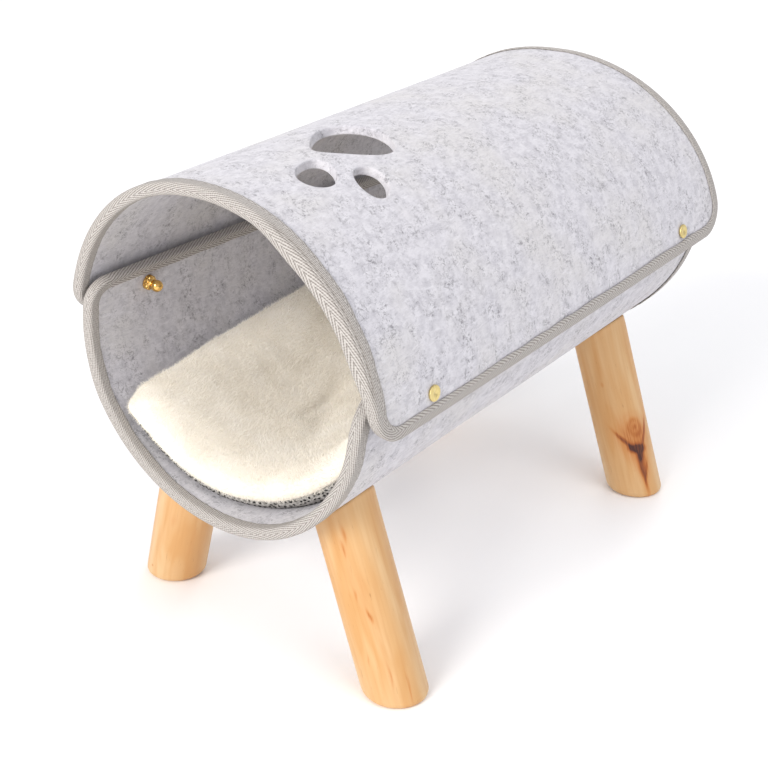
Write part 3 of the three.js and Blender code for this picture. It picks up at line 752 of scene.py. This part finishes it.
def cushion_grid():
    """Places over the cushion's plan: across, along and distance from the border, closer
    together towards the border."""
    columns, rows, bend_columns = 73, 114, 7
    flat_x = CUSHION_HALF_WIDTH - CUSHION_CORNER
    bends = flat_x + CUSHION_CORNER * np.sin(np.linspace(0, math.pi / 2, bend_columns + 1)[1:])
    across = np.concatenate([-bends[::-1], np.linspace(-flat_x, flat_x, columns), bends])
    insets = np.array([0, 0.7, 1.5, 2.8, 4.6, 7, 10, 13.5, 17.5, 22]) * MM
    limit = CUSHION_HALF_LENGTH - CUSHION_CORNER
    past = np.clip(np.abs(across) - flat_x, 0, CUSHION_CORNER)
    limit = limit + np.sqrt(np.maximum(0, CUSHION_CORNER**2 - past**2))
    middle = np.linspace(-1, 1, rows + 2)[1:-1]
    lines = [-(limit - i) for i in insets] + [(limit - insets[-1]) * m for m in middle]
    lines += [limit - i for i in insets[::-1]]
    along = np.stack(lines, -1)
    across = np.repeat(across[:, None], along.shape[1], axis=1)
    past_x = np.abs(across) - flat_x
    past_y = np.abs(along) - (CUSHION_HALF_LENGTH - CUSHION_CORNER)
    corner = (past_x > 0) & (past_y > 0)
    reach = np.where(corner, np.hypot(past_x, past_y), np.maximum(past_x, past_y))
    border = np.maximum(0, CUSHION_CORNER - reach)
    side = smooth_step(np.abs(across), CUSHION_HALF_WIDTH - SIDE_FADE_RUN, CUSHION_HALF_WIDTH)
    return across, along, border, side


def rim_height(side):
    return BASE_RIM_HEIGHT + (SIDE_RIM_HEIGHT - BASE_RIM_HEIGHT) * side


def edge_height(side):
    return END_EDGE_HEIGHT + (SIDE_EDGE_HEIGHT - END_EDGE_HEIGHT) * side


def grown(across, along, grow):
    return across * (1 + grow / CUSHION_HALF_WIDTH), along * (1 + grow / CUSHION_HALF_LENGTH)


def border_ring(columns, rows):
    """Indices round a grid's border, with the border's corners once each."""
    ring = [(c, 0) for c in range(columns - 1)] + [(columns - 1, r) for r in range(rows - 1)]
    ring += [(c, rows - 1) for c in range(columns - 1, 0, -1)] + [(0, r) for r in range(rows - 1, 0, -1)]
    return np.array(ring)


def layered_body(name, lower, rings, upper):
    """A closed piece between two grids of points, through rings round their borders. Its
    flat places are those of the grids."""
    columns, rows = lower.shape[:2]
    ring = border_ring(columns, rows)
    low_ids = ring[:, 0] * rows + ring[:, 1]
    count = columns * rows
    points = [lower.reshape(-1, 3), upper.reshape(-1, 3)]
    faces = [*grid_faces(columns, rows, flip=True), *grid_faces(columns, rows, first=count)]
    levels = [low_ids]
    start = 2 * count
    for level in rings:
        points.append(level[ring[:, 0], ring[:, 1]])
        levels.append(start + np.arange(len(ring)))
        start += len(ring)
    levels.append(low_ids + count)
    for below, above in zip(levels, levels[1:]):
        faces += [*np.stack([below, np.roll(below, -1), np.roll(above, -1), above], -1)]
    return make_piece(name, np.vstack(points), faces)


def crease_depth(across, along, crease):
    """How deep a crease is at places over the plush: it fades out towards its two ends."""
    start, end = np.array(crease["start"]), np.array(crease["end"])
    way = end - start
    length = np.linalg.norm(way)
    x, y = across / MM - start[0], along / MM - start[1]
    run = np.clip((x * way[0] + y * way[1]) / length**2, 0, 1)
    apart = np.hypot(x - run * way[0], y - run * way[1]) / crease["half_width"]
    return crease["depth"] * MM * np.exp(-(apart**2)) * (0.35 + 0.65 * np.sin(math.pi * run))


def plush_top(across, along, border, side):
    """Height of the cushion's upper face over the felt: its crown with the soft hollows,
    creases and lumps of the filling."""
    crown = (CUSHION_THICKNESS - edge_height(side)) * quarter_round(border, CROWN_RUN)
    dip = sum(crease_depth(across, along, crease) for crease in PLUSH_CREASES)
    for hollow in PLUSH_HOLLOWS:
        x = (across / MM - hollow["across"]) / hollow["reach_x"]
        y = (along / MM - hollow["along"]) / hollow["reach_y"]
        dip = dip + hollow["depth"] * MM * np.exp(-(x**2) - y**2)
    lumps = 0.9 * MM * soft_noise(across / (21 * MM), along / (27 * MM), 5)
    lumps = lumps + 0.3 * MM * soft_noise(across / (6 * MM), along / (7 * MM), 8)
    return edge_height(side) + crown + (lumps - dip) * quarter_round(border, CROWN_RUN)


def plush_cushion():
    """The filled cushion, with its plush skin swelling over the base cloth's rim."""
    across, along, border, side = cushion_grid()
    inner = BASE_THICKNESS + SEAT
    floor = SEAT + inner
    rim = rim_height(side)
    under_run = quarter_round(border, BASE_RIM_RUN - inner)
    lower = in_trough(*grown(across, along, -inner), floor + (rim - floor) * (1 - under_run))
    rings = [in_trough(*grown(across, along, -inner), rim + SEAT)]
    edge = edge_height(side)
    start = rim + 2 * SEAT
    for share in (0, 0.12, 0.3, 0.5, 0.7, 0.88):
        bulge = CUSHION_BULGE * (0.45 + 0.55 * math.sin(math.pi * share))
        rings.append(in_trough(*grown(across, along, bulge), start + (edge - start) * share))
    height = plush_top(across, along, border, side)
    upper = in_trough(*grown(across, along, CUSHION_BULGE * 0.4), height)
    return layered_body("plush_cushion", lower, rings, upper)


def base_cloth():
    """The knitted base cloth, turned up round the cushion's edge."""
    across, along, border, side = cushion_grid()
    rim = rim_height(side)

    def face(grow, floor, run):
        height = floor + (rim - floor) * (1 - quarter_round(border, run))
        return in_trough(*grown(across, along, grow), height)

    under = face(0, SEAT, BASE_RIM_RUN)
    over = face(-BASE_THICKNESS, SEAT + BASE_THICKNESS, BASE_RIM_RUN - BASE_THICKNESS)
    return layered_body("base_cloth", under, [], over)


def rim_spot(x, y, facing, share):
    """A point of the base cloth's turned-up rim, between its foot (0) and its edge (1)."""
    side = smooth_step(np.abs(x), CUSHION_HALF_WIDTH - SIDE_FADE_RUN, CUSHION_HALF_WIDTH)
    inset = BASE_RIM_RUN * (1 - math.sqrt(2 * share - share**2))
    place = np.array([x - inset * math.cos(facing)]), np.array([y - inset * math.sin(facing)])
    return Vector(in_trough(*place, SEAT + (rim_height(side) - SEAT) * share)[0])


def grip_dots():
    """Raised vinyl dots on the part of the base cloth that shows round the cushion's edge, in
    three rows, with a slanting side and a low point each."""
    rng = np.random.default_rng(12)
    pitch = 3.7 * MM
    half_length, half_width = 1.1 * MM, 0.8 * MM
    sides, dot_rows = 8, 3
    corners = (CUSHION_CORNER, CUSHION_CORNER)
    loop = rounded_rectangle(CUSHION_HALF_WIDTH, CUSHION_HALF_LENGTH, corners, pitch)
    points, faces = [], []
    for row in range(dot_rows):
        for i, (x, y, facing) in enumerate(loop):
            next_x, next_y, _ = loop[(i + 1) % len(loop)]
            step = 0.5 * (row % 2) + rng.uniform(-0.2, 0.2)
            x, y = x + (next_x - x) * step, y + (next_y - y) * step
            share = (row + 0.5) / dot_rows * rng.uniform(0.8, 1.12)
            centre = rim_spot(x, y, facing, share)
            upward = (rim_spot(x, y, facing, share + 0.03) - centre).normalized()
            x, y = x - 0.5 * MM * math.sin(facing), y + 0.5 * MM * math.cos(facing)
            sideways = (rim_spot(x, y, facing, share) - centre).normalized()
            outward = sideways.cross(upward).normalized()
            long, wide = half_length * rng.uniform(0.55, 1.3), half_width * rng.uniform(0.6, 1.3)
            tilt = rng.uniform(-0.6, 0.6)
            first = len(points)
            for reach, rise in ((1, 0.05), (0.75, 0.35)):
                for turn in np.arange(sides) / sides * 2 * math.pi:
                    a, b = long * math.cos(turn), wide * math.sin(turn)
                    way = sideways * (a * math.cos(tilt) - b * math.sin(tilt))
                    way = way + upward * (a * math.sin(tilt) + b * math.cos(tilt))
                    points.append(centre + outward * rise * MM + way * reach)
            points.append(centre + outward * 0.45 * MM)
            for k in range(sides):
                n = (k + 1) % sides
                faces.append((first + k, first + n, first + sides + n, first + sides + k))
                faces.append((first + sides + k, first + sides + n, first + 2 * sides))
    return make_piece("grip_dots", points, faces)


def plush_pile(cushion):
    """Short curling pile over the plush, a leaning blade for each tuft."""
    rng = np.random.default_rng(3)
    half_blade, sunk_depth = 0.13 * MM, 0.4 * MM
    mesh = cushion.data
    mesh.calc_loop_triangles()
    spots = np.empty(len(mesh.vertices) * 3)
    mesh.vertices.foreach_get("co", spots)
    spots = spots.reshape(-1, 3)
    tris = np.array([t.vertices[:] for t in mesh.loop_triangles])
    # The points of the cushion's underside come first, and bear no pile
    tris = tris[tris.min(axis=1) >= cushion_grid()[0].size]
    a, b, c = (spots[tris[:, i]] for i in range(3))
    normal = np.cross(b - a, c - a)
    area = np.linalg.norm(normal, axis=1)
    pick = rng.choice(len(tris), PILE_BLADES, p=area / area.sum())
    u, v = rng.random(PILE_BLADES), rng.random(PILE_BLADES)
    swap = u + v > 1
    u[swap], v[swap] = 1 - u[swap], 1 - v[swap]
    root = a[pick] + (b[pick] - a[pick]) * u[:, None] + (c[pick] - a[pick]) * v[:, None]
    outward = normal[pick] / area[pick][:, None]
    swirl = soft_noise(root[:, 0] / (9 * MM), root[:, 1] / (11 * MM), 21)
    nap = np.stack([np.cos(swirl * 3 + 1), np.sin(swirl * 3 + 1), 0 * swirl], -1)
    lean = outward + 0.45 * nap + rng.normal(0, 0.3, (PILE_BLADES, 3))
    lean /= np.linalg.norm(lean, axis=1)[:, None]
    width = np.cross(lean, rng.normal(0, 1, (PILE_BLADES, 3)))
    width *= half_blade / np.linalg.norm(width, axis=1)[:, None]
    tuft = 1 + 0.35 * soft_noise(root[:, 0] / (3.2 * MM), root[:, 1] / (3.6 * MM), 22)
    tip = root + lean * (rng.uniform(1.3, 2.6, PILE_BLADES) * tuft * MM)[:, None]
    sunk = root - outward * sunk_depth
    points = np.stack([sunk - width, sunk + width, tip], 1).reshape(-1, 3)
    return make_piece("plush_pile", points, np.arange(3 * PILE_BLADES).reshape(-1, 3))


# Materials
FELT_COLOURS = dict(
    body="#D5D3D8", shade="#C1BFC5", smear="#ACAAB1", warm="#D1CECC", pale="#E4E2E7", fibre="#57555A"
)
# Tape colours: the yarn's body, painted shade between the ribs, a painted glint on the rib crests, and
# painted shade in the slack fold's crease
TAPE_GAP_SHADE, TAPE_BODY, TAPE_PAINTED_GLINT, TAPE_FOLD_SHADE = "#7F7973", "#A09A95", "#C4BFBA", "#574F48"


def linear(hex_colour):
    """sRGB hex to linear RGBA."""
    parts = [int(hex_colour[i : i + 2], 16) / 255 for i in (1, 3, 5)]
    return (*[p / 12.92 if p <= 0.04045 else ((p + 0.055) / 1.055) ** 2.4 for p in parts], 1)


def fill(node, inputs):
    """Links or sets the inputs of a node."""
    for key, value in inputs.items():
        if isinstance(value, bpy.types.NodeSocket):
            node.id_data.links.new(value, node.inputs[key])
        else:
            node.inputs[key].default_value = value


def add(tree, kind, inputs=None, output=0, stops=(), **settings):
    """A node with its settings, its inputs linked or set, and the (position, hex colour)
    stops of its colour ramp. Gives back one of its outputs."""
    node = tree.nodes.new("ShaderNode" + kind)
    for key, value in settings.items():
        setattr(node, key, value)
    fill(node, inputs or {})
    for i, (position, colour) in enumerate(stops):
        elements = node.color_ramp.elements
        element = elements[i] if i < len(elements) else elements.new(position)
        element.position, element.color = position, linear(colour)
    return node.outputs[output]


def mix(tree, share, colour, other):
    """A colour mixed with another one by a share from 0 to 1."""
    other = linear(other) if isinstance(other, str) else other
    inputs = {"Factor": share, 6: colour, 7: other}
    return add(tree, "Mix", inputs, output=2, data_type="RGBA")


def new_material(name):
    """An empty material, its node tree and its surface shader."""
    material = bpy.data.materials.new(name)
    material.use_nodes = True
    tree = material.node_tree
    return material, tree, tree.nodes["Principled BSDF"]


def pressed_felt():
    """Pressed polyester felt, needled from pale grey fibres with a few dark ones: matt and
    cloudy, with short curling fibres lying every way."""
    material, tree, surface = new_material("pressed_polyester_felt")
    flat = add(tree, "UVMap", uv_map="flat")

    def cloud(size, seed, stretch=1.0, turn=0, detail=2.0, distortion=0.0):
        place = {"Vector": flat, "Location": (seed, seed * 0.7, 0), "Rotation": (0, 0, turn)}
        mapped = add(tree, "Mapping", {**place, "Scale": (1 / size, stretch / size, 1)})
        kind = {"Scale": 1.0, "Detail": detail, "Roughness": 0.6, "Distortion": distortion}
        return add(tree, "TexNoise", {"Vector": mapped, **kind})

    def within(value, low, high, bottom=0.0, top=1.0):
        span = {"From Min": low, "From Max": high, "To Min": bottom, "To Max": top}
        return add(tree, "MapRange", {"Value": value, **span})

    def combine(a, b, how="MULTIPLY"):
        return add(tree, "Math", {0: a, 1: b}, operation=how)

    def fibres(size, seed, width):
        """Curling lines where a cloud passes its middle value, broken into short lengths."""
        off = combine(cloud(size, seed, detail=1.0, distortion=1.8), 0.5, "SUBTRACT")
        line = within(combine(off, 0.0, "ABSOLUTE"), 0.0, width, 1.0, 0.0)
        return combine(line, within(cloud(size * 0.7, seed + 5), 0.47, 0.6))

    # Fibres are 0.05 mm thick, drawn here 0.5 to 1 mm wide so that they show
    dark = combine(fibres(6.5 * MM, 3, 0.075), fibres(4 * MM, 11, 0.08), "MAXIMUM")
    flecks = within(cloud(2.2 * MM, 17, stretch=0.6, turn=0.9), 0.62, 0.78)
    gathered = within(cloud(16 * MM, 23, detail=3.0), 0.44, 0.62, 0.12, 1.0)
    dark = combine(combine(dark, flecks, "MAXIMUM"), gathered)
    pale = cloud(2.2 * MM, 31, stretch=0.25, turn=0.5, detail=3.0, distortion=0.8)
    pale = within(pale, 0.54, 0.74)
    smear = cloud(3 * MM, 61, stretch=0.4, turn=-0.8, detail=3.0, distortion=1.4)
    smear = within(smear, 0.5, 0.68)
    warmth = within(cloud(60 * MM, 47), 0.45, 0.65)

    stops = (0.34, FELT_COLOURS["shade"]), (0.58, FELT_COLOURS["body"])
    colour = add(tree, "ValToRGB", {"Fac": cloud(7 * MM, 41, detail=5.0)}, stops=stops)
    layers = ("warm", warmth, 0.55), ("smear", smear, 0.4), ("pale", pale, 0.55), ("fibre", dark, 0.74)
    for key, share, most in layers:
        colour = mix(tree, combine(share, most), colour, FELT_COLOURS[key])
    fuzz = cloud(0.9 * MM, 53, detail=3.0)
    height = combine(combine(fuzz, combine(pale, 0.5), "ADD"), dark, "SUBTRACT")
    bump = {"Strength": 0.45, "Distance": 0.35 * MM, "Height": height}
    fill(surface, {"Base Color": colour, "Normal": add(tree, "Bump", bump), "Roughness": 0.95})
    fill(surface, {"IOR": 1.45, "Specular IOR Level": 0.25, "Sheen Weight": 0.2, "Sheen Roughness": 0.6})
    return material


def herringbone_tape():
    """Polyester herringbone tape, woven in bright greige yarn: ribs that lean one way and then
    the other, with painted shade in the gaps between ribs, a painted glint on their crests, and painted
    shade in the crease of the slack fold."""
    material, tree, surface = new_material("herringbone_polyester_tape")
    flat = add(tree, "UVMap", uv_map="flat")
    lengthwise, crosswise, _ = add(tree, "SeparateXYZ", {"Vector": flat}).node.outputs

    def cloud(size, detail):
        return add(tree, "TexNoise", {"Vector": flat, "Scale": 1 / size, "Detail": detail})

    def combine(a, b, how="MULTIPLY", c=0.5):
        return add(tree, "Math", {0: a, 1: b, 2: c}, operation=how)

    yarn = cloud(4 * MM, 2.0)
    # The ribs turn back along lines that run lengthwise, one every stripe
    first_line, stripe = 2.6 * MM, 16.2 * MM
    from_line = combine(combine(crosswise, first_line, "SUBTRACT"), stripe, "PINGPONG")

    def wave(turn, pitch, wander, low, high):
        """Evenly spaced ridges whose crests lie at an angle to the tape's length."""
        along = combine(lengthwise, 2 * math.pi * math.sin(turn) / pitch)
        phase = combine(from_line, 2 * math.pi * math.cos(turn) / pitch, "MULTIPLY_ADD", along)
        sine = combine(combine(yarn, wander, "MULTIPLY_ADD", phase), 0.0, "SINE")
        return add(tree, "MapRange", {"Value": sine, "From Min": low, "From Max": high})

    rib_turn, thread_turn = math.radians(25), math.radians(87)
    rib = wave(rib_turn, 1.7 * MM, 3.0, -1.0, 0.8)
    # Single threads are under 0.4 mm, drawn at 1.2 mm so that they show
    thread = wave(thread_turn, 1.2 * MM, 6.0, -0.9, 0.7)
    relief = combine(thread, 0.34, "MULTIPLY_ADD", rib)
    patches = 1.2
    uneven = combine(cloud(1.2 * MM, 3.0), patches, "MULTIPLY_ADD", combine(relief, 0.6, "SUBTRACT"))
    # The ribs' relief sets the colour: painted shade in the gaps and a painted glint on the crests, over
    # the yarn's uneven tone
    stops = (0.05, TAPE_GAP_SHADE), (0.45, TAPE_BODY), (0.95, TAPE_PAINTED_GLINT)
    tone = add(tree, "ValToRGB", {"Fac": combine(uneven, 1 / patches)}, stops=stops)
    # Painted shade darkens the tape along the crease of its slack fold
    fold = add(tree, "Attribute", output="Fac", attribute_name="fold")
    colour = mix(tree, combine(fold, 0.9), tone, TAPE_FOLD_SHADE)
    bump = {"Strength": 0.7, "Distance": 0.25 * MM, "Height": relief}
    fill(surface, {"Base Color": colour, "Normal": add(tree, "Bump", bump), "Roughness": 0.6})
    fill(surface, {"IOR": 1.55, "Specular IOR Level": 0.25})
    return material


def turned_brass(name, colours, roughness):
    """Turned brass, polished and lacquered, with faint marks of wear."""
    material, tree, surface = new_material(name)
    place = add(tree, "TexCoord", output="Object")
    size = {"Scale": 1 / (1.6 * MM), "Detail": 4.0, "Roughness": 0.7}
    wear = add(tree, "TexNoise", {"Vector": place, **size})
    tone = add(tree, "ValToRGB", {"Fac": wear}, stops=zip((0.3, 0.7), colours))
    span = {"Value": wear, "To Min": roughness, "To Max": roughness + 0.16}
    gloss = add(tree, "MapRange", span)
    fill(surface, {"Base Color": tone, "Roughness": gloss, "Metallic": 1})
    return material


def peeled_pine():
    """Peeled pine sanded smooth under a thin satin varnish: pale and warm, with broad amber
    bands, short dark grain dashes, brown knots and dark resin."""
    material, tree, surface = new_material("peeled_pine")
    grain = add(tree, "Attribute", output="Vector", attribute_name="grain")
    even_mark = add(tree, "Attribute", output="Fac", attribute_name="mark")

    def streaks(width, length, detail, low, high, most, least=0.0):
        scale = (1 / width, 1 / width, 1 / length)
        mapped = add(tree, "Mapping", {"Vector": grain, "Scale": scale})
        kind = {"Scale": 1.0, "Detail": detail, "Roughness": 0.55, "Distortion": 0.5}
        noise = add(tree, "TexNoise", {"Vector": mapped, **kind})
        span = {"From Min": low, "From Max": high, "To Min": least, "To Max": most}
        return add(tree, "MapRange", {"Value": noise, **span})

    amber = streaks(13 * MM, 85 * MM, 2.0, 0.36, 0.66, 1.0)
    narrow = streaks(2.6 * MM, 70 * MM, 3.0, 0.48, 0.8, 0.35)
    dashes = streaks(0.8 * MM, 9 * MM, 1.0, 0.7, 0.82, 0.55)
    wood = add(tree, "ValToRGB", {"Fac": amber}, stops=((0.0, "#D9B484"), (1.0, "#CE9B60")))
    wood = mix(tree, narrow, wood, "#C2884C")
    wood = mix(tree, dashes, wood, "#9A6433")
    # Resin soaks in unevenly, along the grain
    soaked = streaks(1.2 * MM, 16 * MM, 3.0, 0.3, 0.7, 1.15, least=0.78)
    mark = add(tree, "Math", {0: even_mark, 1: soaked}, operation="MULTIPLY")
    stops = (0.35, "#C27526"), (0.62, "#A4561A"), (0.98, "#431606")
    stain = add(tree, "ValToRGB", {"Fac": mark}, stops=stops)
    cover = {"Value": mark, "From Max": 0.6}
    share = add(tree, "MapRange", cover, interpolation_type="SMOOTHSTEP")
    wood = mix(tree, share, wood, stain)
    bump = {"Strength": 0.2, "Distance": 0.12 * MM, "Height": narrow}
    fill(surface, {"Base Color": wood, "Normal": add(tree, "Bump", bump), "Roughness": 0.5})
    fill(surface, {"IOR": 1.5, "Coat Weight": 0.12, "Coat Roughness": 0.35})
    return material


def sawn_pine():
    """The sawn ends of the sticks: pale and darker year rings round the pith."""
    material, tree, surface = new_material("sawn_pine_end")
    grain = add(tree, "Attribute", output="Vector", attribute_name="grain")
    offset = add(tree, "Mapping", {"Vector": grain, "Location": (4 * MM, -3 * MM, 0)})
    wobble = add(tree, "TexNoise", {"Vector": offset, "Scale": 1 / (7 * MM), "Detail": 2.0})
    length = add(tree, "VectorMath", {0: offset}, output="Value", operation="LENGTH")
    rings = {0: length, 1: 2 * math.pi / (2.4 * MM)}
    uneven = {0: wobble, 1: 5.0, 2: add(tree, "Math", rings, operation="MULTIPLY")}
    sine = add(tree, "Math", {0: add(tree, "Math", uneven, operation="MULTIPLY_ADD")}, operation="SINE")
    share = add(tree, "MapRange", {"Value": sine, "From Min": -1.0})
    tone = add(tree, "ValToRGB", {"Fac": share}, stops=((0, "#E9C391"), (1, "#C08C55")))
    fill(surface, {"Base Color": tone, "Roughness": 0.75})
    return material


def cream_plush(name, light, shade):
    """Cream polyester plush, sheared short: soft, bright, with a slight sheen where the
    pile lies over."""
    material, tree, surface = new_material(name)
    place = add(tree, "TexCoord", output="Object")
    broad = {"Scale": 1 / (24 * MM), "Detail": 3.0, "Roughness": 0.55}
    small = {"Scale": 1 / (1.3 * MM), "Detail": 2.0, "Roughness": 0.6}
    lay, tuft = (add(tree, "TexNoise", {"Vector": place, **size}) for size in (broad, small))
    mixed = add(tree, "Math", {0: tuft, 1: 0.35, 2: lay}, operation="MULTIPLY_ADD")
    tone = add(tree, "ValToRGB", {"Fac": mixed}, stops=((0.45, shade), (0.85, light)))
    bump = {"Strength": 0.6, "Distance": 0.5 * MM, "Height": tuft}
    fill(surface, {"Base Color": tone, "Normal": add(tree, "Bump", bump), "Roughness": 0.9})
    fill(surface, {"IOR": 1.45, "Specular IOR Level": 0.2, "Sheen Weight": 0.4, "Sheen Roughness": 0.5})
    return material


def knitted_jersey():
    """Grey polyester jersey: small knit loops under the printed grip dots."""
    material, tree, surface = new_material("grey_knitted_jersey")
    place = add(tree, "TexCoord", output="Object")
    loops = add(tree, "TexVoronoi", {"Vector": place, "Scale": 1 / (1.1 * MM)})
    cloud = add(tree, "TexNoise", {"Vector": place, "Scale": 1 / (2.2 * MM), "Detail": 3.0})
    mixed = add(tree, "Math", {0: loops, 1: 0.5, 2: cloud}, operation="MULTIPLY_ADD")
    tone = add(tree, "ValToRGB", {"Fac": mixed}, stops=((0.4, "#D2CFCA"), (0.9, "#8F8C88")))
    bump = {"Strength": 0.6, "Distance": 0.3 * MM, "Height": loops}
    fill(surface, {"Base Color": tone, "Normal": add(tree, "Bump", bump), "Roughness": 0.9})
    return material


def dot_vinyl():
    """Soft black vinyl, printed as dots."""
    material, tree, surface = new_material("black_vinyl_dots")
    place = add(tree, "TexCoord", output="Object")
    dust = add(tree, "TexNoise", {"Vector": place, "Scale": 1 / (3 * MM), "Detail": 2.0})
    tone = add(tree, "ValToRGB", {"Fac": dust}, stops=((0.3, "#191817"), (0.7, "#2B2927")))
    fill(surface, {"Base Color": tone, "Roughness": 0.6})
    return material


# The bed
felt = pressed_felt()
twill = herringbone_tape()
brass_head = turned_brass("pale_lacquered_brass", ("#D6BF78", "#EDDCA2"), 0.32)
brass_ball = turned_brass("golden_polished_brass", ("#E3A54A", "#FFDC8E"), 0.12)
pine = peeled_pine()
pine_end = sawn_pine()
jersey = knitted_jersey()

roof = finish_piece(felt_panel("felt_roof", TOP_PANEL, 11), felt, "felt", "felt_top")
trough = finish_piece(felt_panel("felt_trough", BOTTOM_PANEL, 31), felt, "felt", "felt_bottom")
roof_tape = finish_piece(tape("roof_tape", TOP_PANEL, 1), twill, "binding", "binding_top")
trough_tape = finish_piece(tape("trough_tape", BOTTOM_PANEL, 2), twill, "binding", "binding_bottom")
for place in STUD_PLACES:
    finish_piece(stud_screw(place), brass_head, "brass", "stud_screw_" + place["name"])
    finish_piece(stud_ball(place), brass_ball, "brass", "stud_ball_" + place["name"])
for place in LEG_PLACES:
    leg = finish_piece(peeled_leg(place), pine, "pine", "leg_" + place["name"])
    leg.data.materials.append(pine_end)
plush_ground = cream_plush("cream_plush_ground", "#FDF6E9", "#F4ECDC")
plush_tips = cream_plush("cream_plush_pile", "#FFFBF2", "#FBF5E9")
cushion = finish_piece(plush_cushion(), plush_ground, "plush", "cushion")
finish_piece(plush_pile(cushion), plush_tips, "plush")
base = finish_piece(base_cloth(), jersey, "dotted_cloth", "cushion_base")
finish_piece(grip_dots(), dot_vinyl(), "dotted_cloth")


# Floor, light and camera
def white_paper():
    """Matt white backdrop paper."""
    material, _, surface = new_material("white_backdrop_paper")
    fill(surface, {"Base Color": linear("#FFFFFF"), "Roughness": 0.9, "Specular IOR Level": 0.1})
    return material


floor_corners = [(-6, -6, 0), (6, -6, 0), (6, 6, 0), (-6, 6, 0)]
floor = make_piece("floor", floor_corners, [(0, 1, 2, 3)], smooth=False)
floor.data.materials.append(white_paper())

world = bpy.data.worlds.new("studio")
world.use_nodes = True
fill(world.node_tree.nodes["Background"], {"Color": (0.955, 0.96, 1, 1), "Strength": 0.72})
bpy.context.scene.world = world


BED_MIDDLE = Vector((0, 0, 0.2))


def soft_box(name, position, size, power, tint=(1, 1, 1)):
    """A square lamp that faces the bed."""
    lamp = bpy.data.lights.new(name, "AREA")
    lamp.shape = "SQUARE"
    lamp.size = size
    lamp.energy = power
    lamp.color = tint
    lamp_object = bpy.data.objects.new(name, lamp)
    lamp_object.location = position
    to_bed = BED_MIDDLE - Vector(position)
    lamp_object.rotation_euler = to_bed.to_track_quat("-Z", "Y").to_euler()
    bpy.context.scene.collection.objects.link(lamp_object)


soft_box("key", (2.4, -0.6, 3.4), 2.4, 37)
soft_box("mouth", (-0.1, -3.3, 1.9), 1.6, 96, (1, 0.97, 0.93))
soft_box("rear", (-1.2, 2.9, 1.7), 1.4, 24, (1, 0.98, 0.95))

# The camera's focal length is in pixels of the square picture
PICTURE_SIDE = 768
FOCAL_LENGTH = 1460.6
SENSOR = 36
AZIMUTH, ELEVATION = math.radians(35.802), math.radians(25.0)
LOOK_AT = Vector((-0.031264 + AXIS_X, 0, 0.118806))
DISTANCE = 1.077817

camera_data = bpy.data.cameras.new("camera")
camera_data.sensor_width = SENSOR
camera_data.lens = FOCAL_LENGTH / PICTURE_SIDE * SENSOR
level = math.cos(ELEVATION)
back = Vector((math.sin(AZIMUTH) * level, -math.cos(AZIMUTH) * level, math.sin(ELEVATION)))
camera = bpy.data.objects.new("camera", camera_data)
camera.location = LOOK_AT + back * DISTANCE
camera.rotation_euler = back.to_track_quat("Z", "Y").to_euler()
bpy.context.scene.collection.objects.link(camera)
bpy.context.scene.camera = camera
bpy.context.scene.view_settings.view_transform = "Standard"
